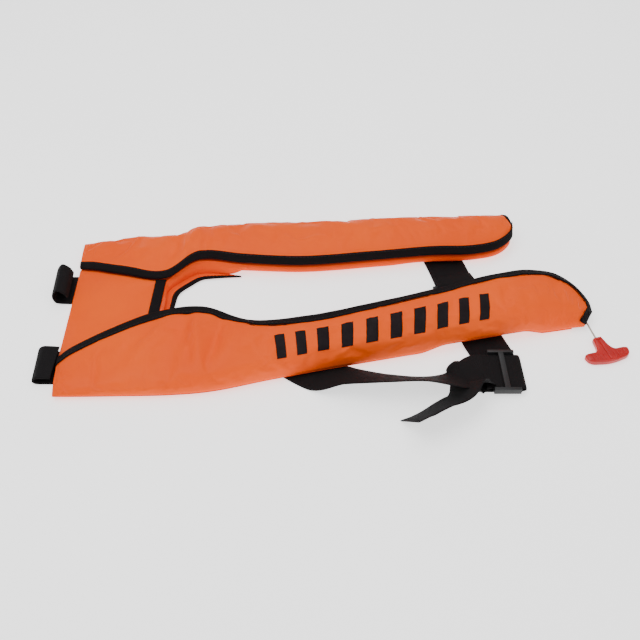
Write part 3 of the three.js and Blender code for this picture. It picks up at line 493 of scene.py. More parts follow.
class Lobe:
    def __init__(self, stations, lift, seed):
        self.stations, self.lift, self.seed = stations, lift, seed
        self.side = math.copysign(1, stations[0, 1])

    def frame(self, t):
        zeros = np.zeros((len(self.stations), 1))
        outer = catmull(np.hstack([self.stations[:, 0:2], zeros]), t)
        inner = catmull(np.hstack([self.stations[:, 2:4], zeros]), t)
        heights = catmull(np.hstack([self.stations[:, 4:6], zeros]), t)
        under = self.lift(outer[:, 0])
        crown = heights[:, 0]
        edge = np.maximum(heights[:, 1], under + CLOTH + 3)
        fold = np.minimum(np.maximum(FOLD, under + 4), crown * 0.7)
        return outer, inner - outer, under, crown, edge, fold

    def flap(self, t, v):
        """The flap's outer face at every t and v, as drawn in the frame, with no creases."""
        outer, reach, _, crown, edge, fold = (a[:, None] for a in self.frame(t))
        angle = v[None, :] * TURN
        rising = angle <= math.pi / 2
        first_s = 0.5 * (1 - np.cos(angle))
        second_s = 0.5 * (1 + np.cos(angle) / math.cos(TURN))
        fall = (np.sin(angle) - math.sin(TURN)) / (1 - math.sin(TURN))
        first_z = fold + (crown - fold) * np.sin(np.minimum(angle, math.pi / 2)) ** FULLNESS
        second_z = edge + (crown - edge) * fall
        s = np.where(rising, first_s, second_s)
        z = np.where(rising, first_z, second_z)
        grid = outer + reach * np.broadcast_to(s, z.shape)[..., None]
        grid[..., 2] = z
        return grid

    def at_x(self, x):
        t = np.linspace(0, 1, 2001)
        return float(np.interp(x, self.frame(t)[0][:, 0], t))


right_lobe = Lobe(RIGHT, right_lift, 3.7)
left_lobe = Lobe(LEFT, left_lift, 11.3)


def soft_fold(grid, x, y, angle, width, length, depth):
    """A dent or ridge centred on x, y, running at an angle across the cloth."""
    a = math.radians(angle)
    dx, dy = grid[..., 0] - x, grid[..., 1] - y
    along = dx * math.cos(a) + dy * math.sin(a)
    across = -dx * math.sin(a) + dy * math.cos(a)
    return depth * np.exp(-((across / width) ** 2) - (along / length) ** 2)


# x, y, angle, width, length and depth of each handling fold.
RIGHT_FOLDS = [
    (-172, -66, 80, 10, 40, -4.2), (-152, -74, 98, 7, 46, 3.4), (-130, -72, 84, 8, 40, -4.0),
    (-198, -60, 62, 9, 34, 2.8), (-108, -76, 70, 9, 30, 2.4), (-232, -80, 52, 13, 42, -2.4),
    (-258, -104, 30, 14, 40, 1.6), (-70, -76, 40, 10, 28, -1.6),
    (222, 2, 32, 11, 44, -1.8), (246, 12, 46, 9, 36, 1.6), (270, 8, 58, 8, 30, -1.6), (180, 0, 18, 12, 50, 1.0),
]
LEFT_FOLDS = [
    (-196, 88, 62, 9, 34, -3.0), (-178, 102, 74, 8, 36, 3.0), (-158, 104, 88, 7, 34, -2.4),
    (-222, 84, 40, 10, 36, 1.8), (-132, 108, 105, 9, 30, 1.4), (-262, 92, 20, 12, 40, -1.4),
    (-60, 108, 8, 9, 60, -1.2), (60, 118, 6, 10, 70, 1.0),
    (150, 124, 176, 9, 60, -1.2), (206, 130, 120, 8, 30, -1.2),
]


def creased(lobe, grid, folds, v):
    """Adds handling folds and slack to the flap, fading towards the bound edge and the fold line."""
    keep = (smoothstep(v, 0.0, 0.18) * (1 - smoothstep(v, 0.86, 1.0)))[None, :]
    offset = sum(soft_fold(grid, *fold) for fold in folds)
    offset += 1.3 * wobble(grid, 58, lobe.seed) + 0.55 * wobble(grid, 24, lobe.seed + 5)
    ridge = 1 - np.abs(wobble(grid * np.array([1.0, 0.45, 1.0]), 34, lobe.seed + 9)) * 2
    offset += 0.7 * np.clip(ridge, 0, 1) ** 6
    n = normals(grid) * -lobe.side
    n *= np.sign(n[..., 2:3].mean())
    return grid + n * (keep * offset)[..., None]


def blended(piece, body, slot, *nodes):
    """Bakes the cloth in place with no body and hides the frame's nodes that it stands for."""
    settle(piece, None, slot, *nodes)
    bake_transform(piece)


def binding_sections(edge, inward, n, width, thick, cloth):
    """Tape folded over a cloth edge. inward is the direction back into the cloth, and n its normal."""
    profile = [
        (width, 0.05), (width, thick * 0.8), (width * 0.9, thick), (width * 0.5, thick * 1.05),
        (width * 0.12, thick), (-thick * 0.7, thick * 0.45), (-thick, -cloth * 0.5),
        (-thick * 0.7, -cloth - thick * 0.45), (width * 0.12, -cloth - thick),
        (width * 0.5, -cloth - thick * 1.05), (width * 0.9, -cloth - thick), (width, -cloth - thick * 0.8),
        (width, -cloth - 0.05), (0.3, -cloth - 0.05), (0.3, 0.05),
    ]
    return np.stack([edge + inward * a + n * b for a, b in profile], axis=1)


def folded_tape(name, edge, inward, n, width, narrowed=1, thick=BINDING):
    """A binding folded over the edge of the cloth; its weave keeps the scale of the whole width."""
    sections = binding_sections(edge, inward, n, width * narrowed, thick, CLOTH)
    return sweep(name, sections, TAPE, spread(np.linspace(0, 2 * width, sections.shape[1]), distances(edge)))


def evaluated(obj):
    return obj.evaluated_get(bpy.context.evaluated_depsgraph_get())


def coordinates_of(mesh):
    points = np.empty(len(mesh.vertices) * 3)
    mesh.vertices.foreach_get("co", points)
    return points.reshape(-1, 3)


def step_cloth(obj, settings):
    """Runs Blender's cloth on an object and returns where its points end, in metres."""
    cloth = obj.modifiers.new("cloth", "CLOTH")
    for key, value in settings.items():
        setattr(cloth.settings, key, value)
    cloth.settings.effector_weights.gravity = 0
    cloth.point_cache.frame_start, cloth.point_cache.frame_end = 1, CLOTH_FRAMES
    for frame_number in range(1, CLOTH_FRAMES + 1):
        bpy.context.scene.frame_set(frame_number)
    points = coordinates_of(evaluated(obj).data)
    bpy.context.scene.frame_set(1)
    obj.modifiers.remove(cloth)
    return points


def capped(moved, limit):
    length = np.linalg.norm(moved, axis=-1, keepdims=True)
    return moved * limit * np.tanh(length / limit) / np.maximum(length, 1e-9)


def relaxed(grid, keep, limit):
    """Cloth cut a little too big for its place, held by its seams, settles into slack folds."""
    rows, columns = keep.shape
    index = np.arange(rows * columns).reshape(rows, columns)
    faces = np.stack([index[:-1, :-1], index[1:, :-1], index[1:, 1:], index[:-1, 1:]], axis=-1).reshape(-1, 4)
    mesh = bpy.data.meshes.new("relaxing")
    start = world(grid.reshape(-1, 3))
    mesh.from_pydata(start.tolist(), [], faces.tolist())
    obj = bpy.data.objects.new("relaxing", mesh)
    bpy.context.scene.collection.objects.link(obj)
    held = obj.vertex_groups.new(name="held")
    for number, weight in enumerate((1 - keep).ravel()):
        held.add([number], float(weight), "REPLACE")
    end = step_cloth(obj, {
        "vertex_group_mass": "held", "quality": 6, "mass": 0.25, "shrink_min": -0.02, "tension_stiffness": 20,
        "compression_stiffness": 20, "shear_stiffness": 10, "bending_stiffness": 3, "air_damping": 2})
    bpy.data.objects.remove(obj)
    bpy.data.meshes.remove(mesh)
    moved = capped((end - start) / MM, limit).reshape(grid.shape)
    return grid + moved * keep[..., None]


def swollen(obj, limit):
    """Padded fabric: an even mesh blown out a little by its filling, by the limit in millimetres at most."""
    even = obj.modifiers.new("even", "REMESH")
    even.mode, even.voxel_size = "VOXEL", 0.005
    obj.data = bpy.data.meshes.new_from_object(evaluated(obj))
    obj.modifiers.clear()
    start = coordinates_of(obj.data)
    end = step_cloth(obj, {"use_pressure": True, "uniform_pressure_force": 4, "bending_stiffness": 0.5})
    obj.data.vertices.foreach_set("co", (start + capped((end - start) / MM, limit) * MM).ravel())
    smooth = obj.modifiers.new("smooth", "SUBSURF")
    smooth.levels = smooth.render_levels = 1
    obj.data = bpy.data.meshes.new_from_object(evaluated(obj))
    obj.modifiers.clear()
    obj.data.polygons.foreach_set("use_smooth", [True] * len(obj.data.polygons))


def build_cover(lobe, folds, name, body):
    t = np.linspace(0, 1, 300)
    v = np.r_[np.linspace(0, 0.85, 40)[:-1], np.linspace(0.85, 1, 9)]
    grid = creased(lobe, lobe.flap(t, v), folds, v)
    width = BINDING_WIDTH[name]
    steps = np.linalg.norm(np.diff(grid[:, ::-1], axis=1), axis=2)
    from_edge = np.hstack([np.zeros((len(t), 1)), np.cumsum(steps, axis=1)])[:, ::-1]
    keep = smoothstep(from_edge, width + 1, width + 22) * smoothstep(v, 0.0, 0.12)[None, :]
    keep = keep * (smoothstep(t, 0.0, 0.03) * (1 - smoothstep(t, 0.95, 1.0)))[:, None]
    grid = relaxed(grid, keep, 2.4)
    n = normals(grid)
    n *= np.sign(n[..., 2].mean())
    cover = slab(f"{name}_cover_cloth", grid, grid - n * CLOTH, COVER)
    blended(cover, body, "cover_cloth", f"{name}_shoulder_cover", f"{name}_flap")
    edge = grid[:, -1]
    inward = grid[:, -6] - grid[:, -1]
    inward /= np.linalg.norm(inward, axis=1, keepdims=True)
    slack = 0.5 * wobble(edge, 30, lobe.seed + 20)[:, None]
    edge = edge + n[:, -1] * slack
    tape = folded_tape(f"{name}_binding_tape", edge, inward, n[:, -1], width)
    blended(tape, body, "binding_tape", f"{name}_shoulder_binding", f"{name}_flap_binding")
    thread = stitches(f"{name}_binding_stitches", edge + inward * width * 0.82, BINDING, n[:, -1], THREAD)
    blended(thread, body, "binding_tape")
    end = np.arange(6, len(v) - 4)
    back = grid[-12, end] - grid[-1, end]
    back /= np.linalg.norm(back, axis=1, keepdims=True)
    tip = folded_tape(f"{name}_tip_binding_tape", grid[-1, end], back, n[-1, end], width, 0.8, BINDING * 0.9)
    settle(tip, body, "binding_tape")
    return grid, n, t, v


right_grid, right_normal, right_t, right_v = build_cover(right_lobe, RIGHT_FOLDS, "right", "right_flap")
left_grid, left_normal, left_t, left_v = build_cover(left_lobe, LEFT_FOLDS, "left", "left_flap")


# ---- Pieces made from the frame's own shapes ----
def placed(points, position, degrees):
    """Points drawn about a fitting's own origin, turned about Z and moved to its position on the jacket."""
    a = math.radians(degrees)
    turn = np.array([[math.cos(a), -math.sin(a), 0], [math.sin(a), math.cos(a), 0], [0, 0, 1]])
    return np.asarray(points, float) @ turn.T + np.asarray(position, float)


def sharpened(obj, degrees=35):
    bm = bmesh.new()
    bm.from_mesh(obj.data)
    for edge in bm.edges:
        edge.smooth = len(edge.link_faces) == 2 and edge.calc_face_angle(0) < math.radians(degrees)
    bm.to_mesh(obj.data)
    bm.free()
    return obj


def rounded(node, width, material, segments=3, angle=28):
    """A copy of the frame's node with its edges rounded."""
    source = frame["nodes"][node]
    mesh = source.data.copy()
    mesh.transform(source.matrix_world)
    mesh.materials.clear()
    mesh.materials.append(material)
    obj = bpy.data.objects.new(f"{node}_moulding", mesh)
    bpy.context.scene.collection.objects.link(obj)
    bm = bmesh.new()
    bm.from_mesh(mesh)
    bmesh.ops.remove_doubles(bm, verts=bm.verts, dist=1e-6)
    bmesh.ops.dissolve_limit(bm, angle_limit=math.radians(1.5), verts=bm.verts, edges=bm.edges)
    edges = [e for e in bm.edges if len(e.link_faces) == 2 and e.calc_face_angle(0) > math.radians(angle)]
    bmesh.ops.bevel(
        bm, geom=edges, offset=width * MM, segments=segments, profile=0.5, affect="EDGES", clamp_overlap=True)
    bm.to_mesh(mesh)
    bm.free()
    mesh.polygons.foreach_set("use_smooth", [True] * len(mesh.polygons))
    sharpened(obj, 50)
    settle(obj, BODY_OF_NODE[node], SLOT_OF_NODE[node], node)
    return obj


def lathe(name, profile, material, position, degrees, segments=64):
    """A turned piece along the fitting's own X, from [radius, distance] pairs."""
    profile = np.asarray(profile, float)
    closed = np.allclose(profile[0], profile[-1])
    if closed:
        profile = profile[:-1]
    angle = np.linspace(0, 2 * math.pi, segments, endpoint=False)
    radius = np.maximum(profile[:, 0], 0.02)[:, None]
    round_x = np.broadcast_arrays(profile[:, 1][:, None], radius * np.cos(angle), radius * np.sin(angle))
    rings = np.stack(round_x, axis=-1)
    rows = len(profile)
    faces = tube_faces(rows, segments, True, not closed)
    if closed:
        for j in range(segments):
            k = (j + 1) % segments
            faces.append(((rows - 1) * segments + j, j, k, (rows - 1) * segments + k))
    points = world(placed(rings.reshape(-1, 3), position, degrees))
    return sharpened(make_object(name, points, faces, material))


def frames_along(path):
    """Tangents and two sideways directions that don't twist along a path."""
    tangent = np.gradient(path, axis=0)
    tangent /= np.linalg.norm(tangent, axis=1, keepdims=True)
    side = np.zeros_like(tangent)
    first = np.cross(tangent[0], [0.0, 0.0, 1.0])
    if np.linalg.norm(first) < 1e-3:
        first = np.array([1.0, 0.0, 0.0])
    side[0] = first / np.linalg.norm(first)
    for i in range(1, len(path)):
        s = side[i - 1] - tangent[i] * np.dot(side[i - 1], tangent[i])
        side[i] = s / np.linalg.norm(s)
    return tangent, side, np.cross(tangent, side)


def wire(name, path, radius, material, sides=8):
    path = np.asarray(path, float)
    _, side, up = frames_along(path)
    angle = np.linspace(0, 2 * math.pi, sides, endpoint=False)
    rings = path[:, None] + radius * (
        side[:, None] * np.cos(angle)[:, None] + up[:, None] * np.sin(angle)[:, None])
    return sweep(name, rings, material)


def laid_cord(name, points, diameter, material, pitch=6.5, strands=3):
    """A cord of three strands laid round each other along points."""
    coarse = catmull(points, np.linspace(0, 1, 200))
    steps = distances(coarse)
    even = np.linspace(0, steps[-1], max(12, int(steps[-1] / 0.45)))
    path = np.stack([np.interp(even, steps, coarse[:, k]) for k in range(3)], axis=1)
    _, side, up = frames_along(path)
    made = []
    radius = diameter * 0.26
    for strand in range(strands):
        angle = (2 * math.pi * (even / pitch + strand / strands))[:, None]
        offset = (side * np.cos(angle) + up * np.sin(angle)) * (diameter / 2 - radius)
        made.append(wire(name, path + offset, radius, material, 7))
    return joined(made, name), path


def box_block(x0, x1, y0, y1, z0, z1):
    corners = [(x, y, z) for z in (z0, z1) for x, y in ((x0, y0), (x1, y0), (x1, y1), (x0, y1))]
    faces = [(0, 3, 2, 1), (4, 5, 6, 7), (0, 1, 5, 4), (1, 2, 6, 5), (2, 3, 7, 6), (3, 0, 4, 7)]
    return corners, faces


def blocks(name, boxes, material, position, degrees, width=0.4):
    """Small moulded bars with rounded edges."""
    vertices, faces = [], []
    for bounds in boxes:
        corners, sides = box_block(*bounds)
        faces += [tuple(len(vertices) + k for k in f) for f in sides]
        vertices += corners
    obj = make_object(name, world(placed(vertices, position, degrees)), faces, material)
    bm = bmesh.new()
    bm.from_mesh(obj.data)
    bmesh.ops.bevel(bm, geom=bm.edges[:], offset=width * MM, segments=2, profile=0.5, affect="EDGES")
    bm.to_mesh(obj.data)
    bm.free()
    obj.data.polygons.foreach_set("use_smooth", [True] * len(obj.data.polygons))
    return sharpened(obj, 50)


# ---- The lower covers ----
def uniform_curve(points, u):
    """Uniform Catmull-Rom through (rows, n, 2) control points, at u from 0 to 1."""
    p = np.concatenate([points[:, :1], points, points[:, -1:]], axis=1)
    spans = points.shape[1] - 1
    s = np.clip(u, 0, 1) * spans
    i = np.minimum(s.astype(int), spans - 1)
    w = (s - i)[None, :, None]
    a, b, c, d = p[:, i], p[:, i + 1], p[:, i + 2], p[:, i + 3]
    m1, m2 = (c - a) / 2, (d - b) / 2
    w2, w3 = w * w, w * w * w
    value = (2 * b - 2 * c + m1 + m2) * w3 + (-3 * b + 3 * c - 2 * m1 - m2) * w2 + m1 * w + b
    slope = 3 * (2 * b - 2 * c + m1 + m2) * w2 + 2 * (-3 * b + 3 * c - 2 * m1 - m2) * w + m1
    return value, slope / np.maximum(np.linalg.norm(slope, axis=-1, keepdims=True), 1e-6)


def base_grid(lobe, t, u, distance):
    outer, reach, low, _, edge, fold = lobe.frame(t)
    width = np.linalg.norm(reach[:, :2], axis=1)
    inner, tuck, wall = width - GAP, edge - TUCK_DROP, width * 0.12
    outline = np.stack([np.stack(np.broadcast_arrays(x, z), axis=-1) for x, z in [
        (0.4, fold - GAP - 0.6), (1.0, (low + fold) / 2), (wall, low), (width * 0.4, low), (width * 0.7, low),
        (inner - wall, low), (inner - 1, low + (tuck - low) * 0.4), (inner - 2, tuck - 2), (inner - 7, tuck),
        (inner - np.minimum(TUCK, width * 0.3), tuck + 1),
    ]], axis=1)
    value, slope = uniform_curve(outline, u)
    s = value[..., 0] - slope[..., 1] * distance
    z = np.maximum((low + distance)[:, None], value[..., 1] + slope[..., 0] * distance)
    grid = outer[:, None] + (reach[:, None] * (s / width[:, None])[..., None])
    grid[..., 2] = z
    return grid


def build_base(lobe, tip, name):
    t = np.linspace(0, lobe.at_x(tip), 200)
    u = np.linspace(0, 1, 64)
    outer, inner = base_grid(lobe, t, u, 0.1), base_grid(lobe, t, u, 1.1)
    slack = (0.45 * wobble(outer, 26, lobe.seed + 30) * smoothstep(u, 0.55, 0.75)[None, :])[..., None]
    push = normals(outer) * slack
    base = slab(f"{name}_lower_cover", outer + push, inner + push, LOWER_PAINTED_SHADE)
    settle(base, "jacket", "lower_cloth", f"{name}_base")
    hem = outer[:, -6]
    up = np.array([0.0, 0.0, 1.0])
    thread = stitches(f"{name}_lower_hem_stitches", hem + push[:, -6], 0.1, up, ORANGE_THREAD)
    settle(thread, "jacket", "lower_cloth")


build_base(right_lobe, 288, "right")
build_base(left_lobe, 234, "left")


def build_fold_strips(lobe, tip, name, count):
    """Cloth inside the outer fold, from the lower cover to the flap."""
    ends = np.linspace(lobe.at_x(FLAP_START + 32), lobe.at_x(tip), count + 1)
    for number, (t0, t1) in enumerate(zip(ends[:-1], ends[1:])):
        t = np.linspace(t0, t1 + 0.0008, 12)
        outer, reach, _, _, _, fold = lobe.frame(t)
        unit = reach / np.linalg.norm(reach[:, :2], axis=1, keepdims=True)
        layers = []
        for inset in (2.2, 2.8):
            layer = np.repeat((outer + unit * inset)[:, None], 9, axis=1)
            layer[..., 2] = fold[:, None] + np.linspace(-3.2, 3.2, 9)[None, :]
            layers.append(layer)
        strip = slab(f"{name}_fold_strip_{number}", layers[0], layers[1], LOWER_PAINTED_SHADE)
        settle(strip, None, "lower_cloth")
        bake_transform(strip)


build_fold_strips(right_lobe, 286, "right", 12)
build_fold_strips(left_lobe, 230, "left", 9)


def build_hook_tape(lobe, grid, n, t, name, body):
    """The fastening tape along the inside of the flap's free edge."""
    start = lobe.at_x(FLAP_START) + 0.01
    rows = np.where((t > start) & (t < 0.93))[0]
    edge = grid[rows, -1]
    inward = grid[rows, -6] - edge
    inward /= np.linalg.norm(inward, axis=1, keepdims=True)
    layers = []
    for distance in (-CLOTH - 0.5, -CLOTH - 1.5):
        layer = []
        for g, m in zip(grid[rows], n[rows]):
            steps = distances(g[::-1])
            at = np.linspace(BINDING_WIDTH[name] + 1, BINDING_WIDTH[name] + 12.5, 8)
            points = np.stack([np.interp(at, steps, (g + m * distance)[::-1, k]) for k in range(3)], axis=1)
            layer.append(points)
        layers.append(np.array(layer))
    tape = slab(f"{name}_hook_fastening_tape", layers[0], layers[1], HOOKS)
    settle(tape, body, "hook_tape", f"{name}_hook_tape")


build_hook_tape(right_lobe, right_grid, right_normal, right_t, "right", "right_flap")
build_hook_tape(left_lobe, left_grid, left_normal, left_t, "left", "left_flap")


# ---- Printed band on the right flap: ten plain slanted bars ----
def printed_bars():
    rows = np.arange(len(right_t))
    columns = np.arange(len(right_v))

    def surface(t, v):
        r, c = np.interp(t, right_t, rows), np.interp(v, right_v, columns)
        i, j = int(min(r, len(rows) - 2)), int(min(c, len(columns) - 2))
        a, b = r - i, c - j
        mix = [(1 - a) * (1 - b), a * (1 - b), (1 - a) * b, a * b]
        cells = [(i, j), (i + 1, j), (i, j + 1), (i + 1, j + 1)]
        point = sum(w * right_grid[cell] for w, cell in zip(mix, cells))
        normal = sum(w * right_normal[cell] for w, cell in zip(mix, cells))
        return point, normal / np.linalg.norm(normal)

    made = []
    for start in np.linspace(0.3735, 0.6085, 10):
        layers = [[], []]
        for s in np.linspace(0, 1, 26):
            v = 0.275 + (0.645 - 0.275) * s
            lean = 0.006 * s
            for layer, lift in zip(layers, (0.5, -0.15)):
                row = []
                for w in np.linspace(0, 0.0125, 7):
                    point, normal = surface(start + lean + w, v)
                    row.append(point + normal * lift)
                layer.append(row)
        made.append(slab("printed_band", np.array(layers[0]), np.array(layers[1]), PRINT))
    band = joined(made, "printed_band")
    settle(band, "right_flap", "cover_cloth")


printed_bars()


# ---- The panel behind the neck ----
NECK_STATION = 3
SEAM = 0.8
YOKE_DROP = 3.4


def inner_edge(lobe, q):
    t = np.asarray(q, float) * NECK_STATION / (len(lobe.stations) - 1)
    outer, reach, _, _, edge, _ = lobe.frame(t)
    width = np.linalg.norm(reach[:, :2], axis=1)
    point = outer + reach * ((width + SEAM) / width)[:, None]
    point[:, 2] = edge
    return point


def yoke_grid(q, w, lift):
    a, b = inner_edge(right_lobe, q), inner_edge(left_lobe, q)
    grid = a[None] + (b - a)[None] * w[:, None, None]
    if lift is None:
        grid[..., 2] -= YOKE_DROP
    else:
        grid[..., 2] = lift
    return grid


def build_yoke():
    q = np.linspace(0.02, 0.98, 40)
    w = np.linspace(0.0, 1.0, 90)
    top = yoke_grid(q, w, None)
    low = yoke_grid(q[::-1], w, STRAP_BED)
    folds = [
        (-215, 30, 20, 12, 60, -1.4), (-250, 70, 96, 10, 40, 1.3), (-240, -5, 75, 12, 46, -1.2),
        (-280, 40, 85, 9, 60, 1.2),
    ]
    keep = (smoothstep(w, 0, 0.15) * (1 - smoothstep(w, 0.85, 1)))[:, None] * smoothstep(q, 0.02, 0.2)[None, :]
    dent = sum(soft_fold(top, *fold) for fold in folds) + 0.9 * wobble(top, 42, 8.1)
    dent = np.minimum(dent, 1.2)
    top[..., 2] += keep * dent
    turn_radius = np.minimum((top[:, :1, 2] - STRAP_BED) / 2, 3.0)
    angle = np.linspace(math.pi / 2, -math.pi / 2, 8)[None, 1:-1]
    turn = np.repeat(low[:, -1:], angle.shape[1], axis=1)
    middle = (top[:, :1, 2] + STRAP_BED) / 2
    turn[..., 0] -= turn_radius * np.cos(angle)
    turn[..., 2] = middle + (top[:, :1, 2] - STRAP_BED) / 2 * np.sin(-angle)
    outer = np.concatenate([low, turn, top], axis=1)
    n = normals(outer)
    if n[:, -10:, 2].mean() < 0:
        n = -n
    panel = slab("yoke_cloth", outer, outer - n * CLOTH, COVER)
    settle(panel, "jacket", "cover_cloth", "yoke_panel")
    steps = yoke_grid(np.array([0.93, 1.0]), w, None)
    inward = steps[:, 0] - steps[:, 1]
    inward /= np.linalg.norm(inward, axis=1, keepdims=True)
    band_edge = steps[:, 1] + np.array([0.4, 0, 0.2])
    up = np.tile([0.0, 0.0, 1.0], (len(w), 1))
    band = folded_tape("neck_binding_tape", band_edge, inward, up, BINDING_WIDTH["neck"])
    settle(band, "jacket", "binding_tape", "neck_binding")


build_yoke()


# ---- The crescent of lower cloth inside the neck opening ----
def build_gusset():
    outer = np.array([
        (-203, -14, 0), (-202, 10, 0), (-201, 33, 0), (-187, 51, 0), (-169, 65, 0), (-149, 67, 0),
        (-121, 64, 0)], float)
    inner = np.array([
        (-191, -12, 0), (-190, 10, 0), (-187, 29, 0), (-174, 44, 0), (-161, 55, 0), (-145, 58, 0),
        (-112, 61, 0)], float)
    t = np.linspace(0, 1, 90)
    a, b = catmull(outer, t), catmull(inner, t)

    def grid(w0, w1, z, count):
        g = a[:, None] + (b - a)[:, None] * np.linspace(w0, w1, count)[None, :, None]
        g[..., 2] = z
        return g

    under = grid(-0.3, 0.55, STRAP_BED, 9)
    cloth = slab("neck_gusset_cloth", grid(-0.3, 0.55, STRAP_BED + CLOTH, 9), under, LOWER_PAINTED_SHADE)
    settle(cloth, "jacket", "lower_cloth", "neck_gusset")
    top = grid(0.52, 1.0, STRAP_BED + CLOTH + 1.0, 12)
    low = grid(0.52, 1.0, STRAP_BED - 0.9, 12)
    swell = np.sin(np.linspace(0, math.pi, 12))[None, :] ** 0.4
    middle = STRAP_BED + CLOTH / 2
    half = (CLOTH / 2 + 0.95) * np.maximum(swell, 0.35)
    top[..., 2] = middle + half
    low[..., 2] = middle - half
    band = slab("gusset_binding_tape", top, low, TAPE)
    settle(band, "jacket", "binding_tape", "gusset_binding")
    thread = stitches("gusset_stitches", top[:, 2], 0.0, np.array([0.0, 0.0, 1.0]), THREAD)
    settle(thread, "jacket", "binding_tape")


build_gusset()


def build_neck_wall():
    """The cloth that rises from the crescent to the neck band and to the left lobe's edge."""
    foot = np.array([
        (-203, -16, 3.6), (-202, 10, 3.6), (-201, 33, 3.6), (-187, 51, 3.6), (-169, 65, 3.6), (-149, 67, 3.6),
        (-124, 64, 5.5), (-106, 66.5, 12)], float)
    head = np.array([
        (-203.5, -16, 17.5), (-203.5, 14, 16), (-203.5, 38, 14.6), (-188, 57, 17), (-168, 72, 19.8),
        (-146, 72.5, 19.5),
        (-124, 69.5, 18.5), (-104, 68, 17.5)], float)
    t = np.linspace(0, 1, 120)
    a, b = catmull(foot, t), catmull(head, t)
    s = np.linspace(0, 1, 16)[None, :, None]
    wall = a[:, None] + (b - a)[:, None] * s
    n = normals(wall)
    rise = np.sin(math.pi * s[..., 0])
    slack = (1.4 * rise + 0.7 * wobble(wall, 13, 5.5)) * rise ** 0.5
    wall = wall + n * slack[..., None]
    cloth = slab("neck_wall_cloth", wall, wall - n * 0.8, LOWER_PAINTED_SHADE)
    settle(cloth, "jacket", "lower_cloth")


build_neck_wall()


# ---- Webbing ----
def ribbon(name, stations, width, thick, rows_per_station=14):
    """Webbing along stations of (x, y, z, across x, y, z), never below the table."""
    s = np.array(stations, float)
    t = np.linspace(0, 1, (len(s) - 1) * rows_per_station + 1)
    centre, across = catmull(s[:, :3], t), catmull(s[:, 3:], t)
    along = np.gradient(centre, axis=0)
    along /= np.linalg.norm(along, axis=1, keepdims=True)
    across = across - along * np.sum(across * along, axis=1, keepdims=True)
    across /= np.linalg.norm(across, axis=1, keepdims=True)
    n = np.cross(along, across)
    count = 20
    x = np.linspace(-0.5, 0.5, count) * width
    round_off = np.sqrt(np.clip(1 - (np.abs(x) / (width / 2)) ** 24, 0, 1))
    round_off[[0, -1]] = 0.35
    half = thick / 2 * round_off
    profile = np.concatenate([np.stack([x, half], 1), np.stack([x[::-1], -half[::-1]], 1)])
    sections = centre[:, None] + across[:, None] * profile[None, :, :1] + n[:, None] * profile[None, :, 1:]
    sunk = np.maximum(0, GAP - sections[..., 2].min(axis=1))
    sections[..., 2] += sunk[:, None]
    u = np.r_[x + width / 2, x[::-1] + width / 2]
    return sweep(name, sections, WEBBING, spread(u, distances(centre))), sections


LOW = GAP + WEB / 2
HIGH = LOW + WEB + GAP
SLIDER_WEB = HIGH + 5
BUCKLE_AT, BUCKLE_TURN = (168, 0, 0), 11
buckle_across = (math.cos(math.radians(BUCKLE_TURN)), math.sin(math.radians(BUCKLE_TURN)), 0)


def at_buckle(y, z):
    return (*placed([(0, y, z)], BUCKLE_AT, BUCKLE_TURN)[0], *buckle_across)


def box_stitch(name, corners, n_lift, body="jacket"):
    """A stitched rectangle with a cross in it, between four corner points."""
    c = [np.array(p, float) for p in corners]
    paths = [(c[0], c[1]), (c[1], c[2]), (c[2], c[3]), (c[3], c[0]), (c[0], c[2]), (c[1], c[3])]
    up = np.cross(c[1] - c[0], c[3] - c[0])
    up /= np.linalg.norm(up)
    if up[2] < 0:
        up = -up
    made = [stitches(name, np.linspace(a, b, 40), n_lift, up, THREAD, 2.6, 1.0, 0.3) for a, b in paths]
    return settle(joined(made, name), body, "webbing")


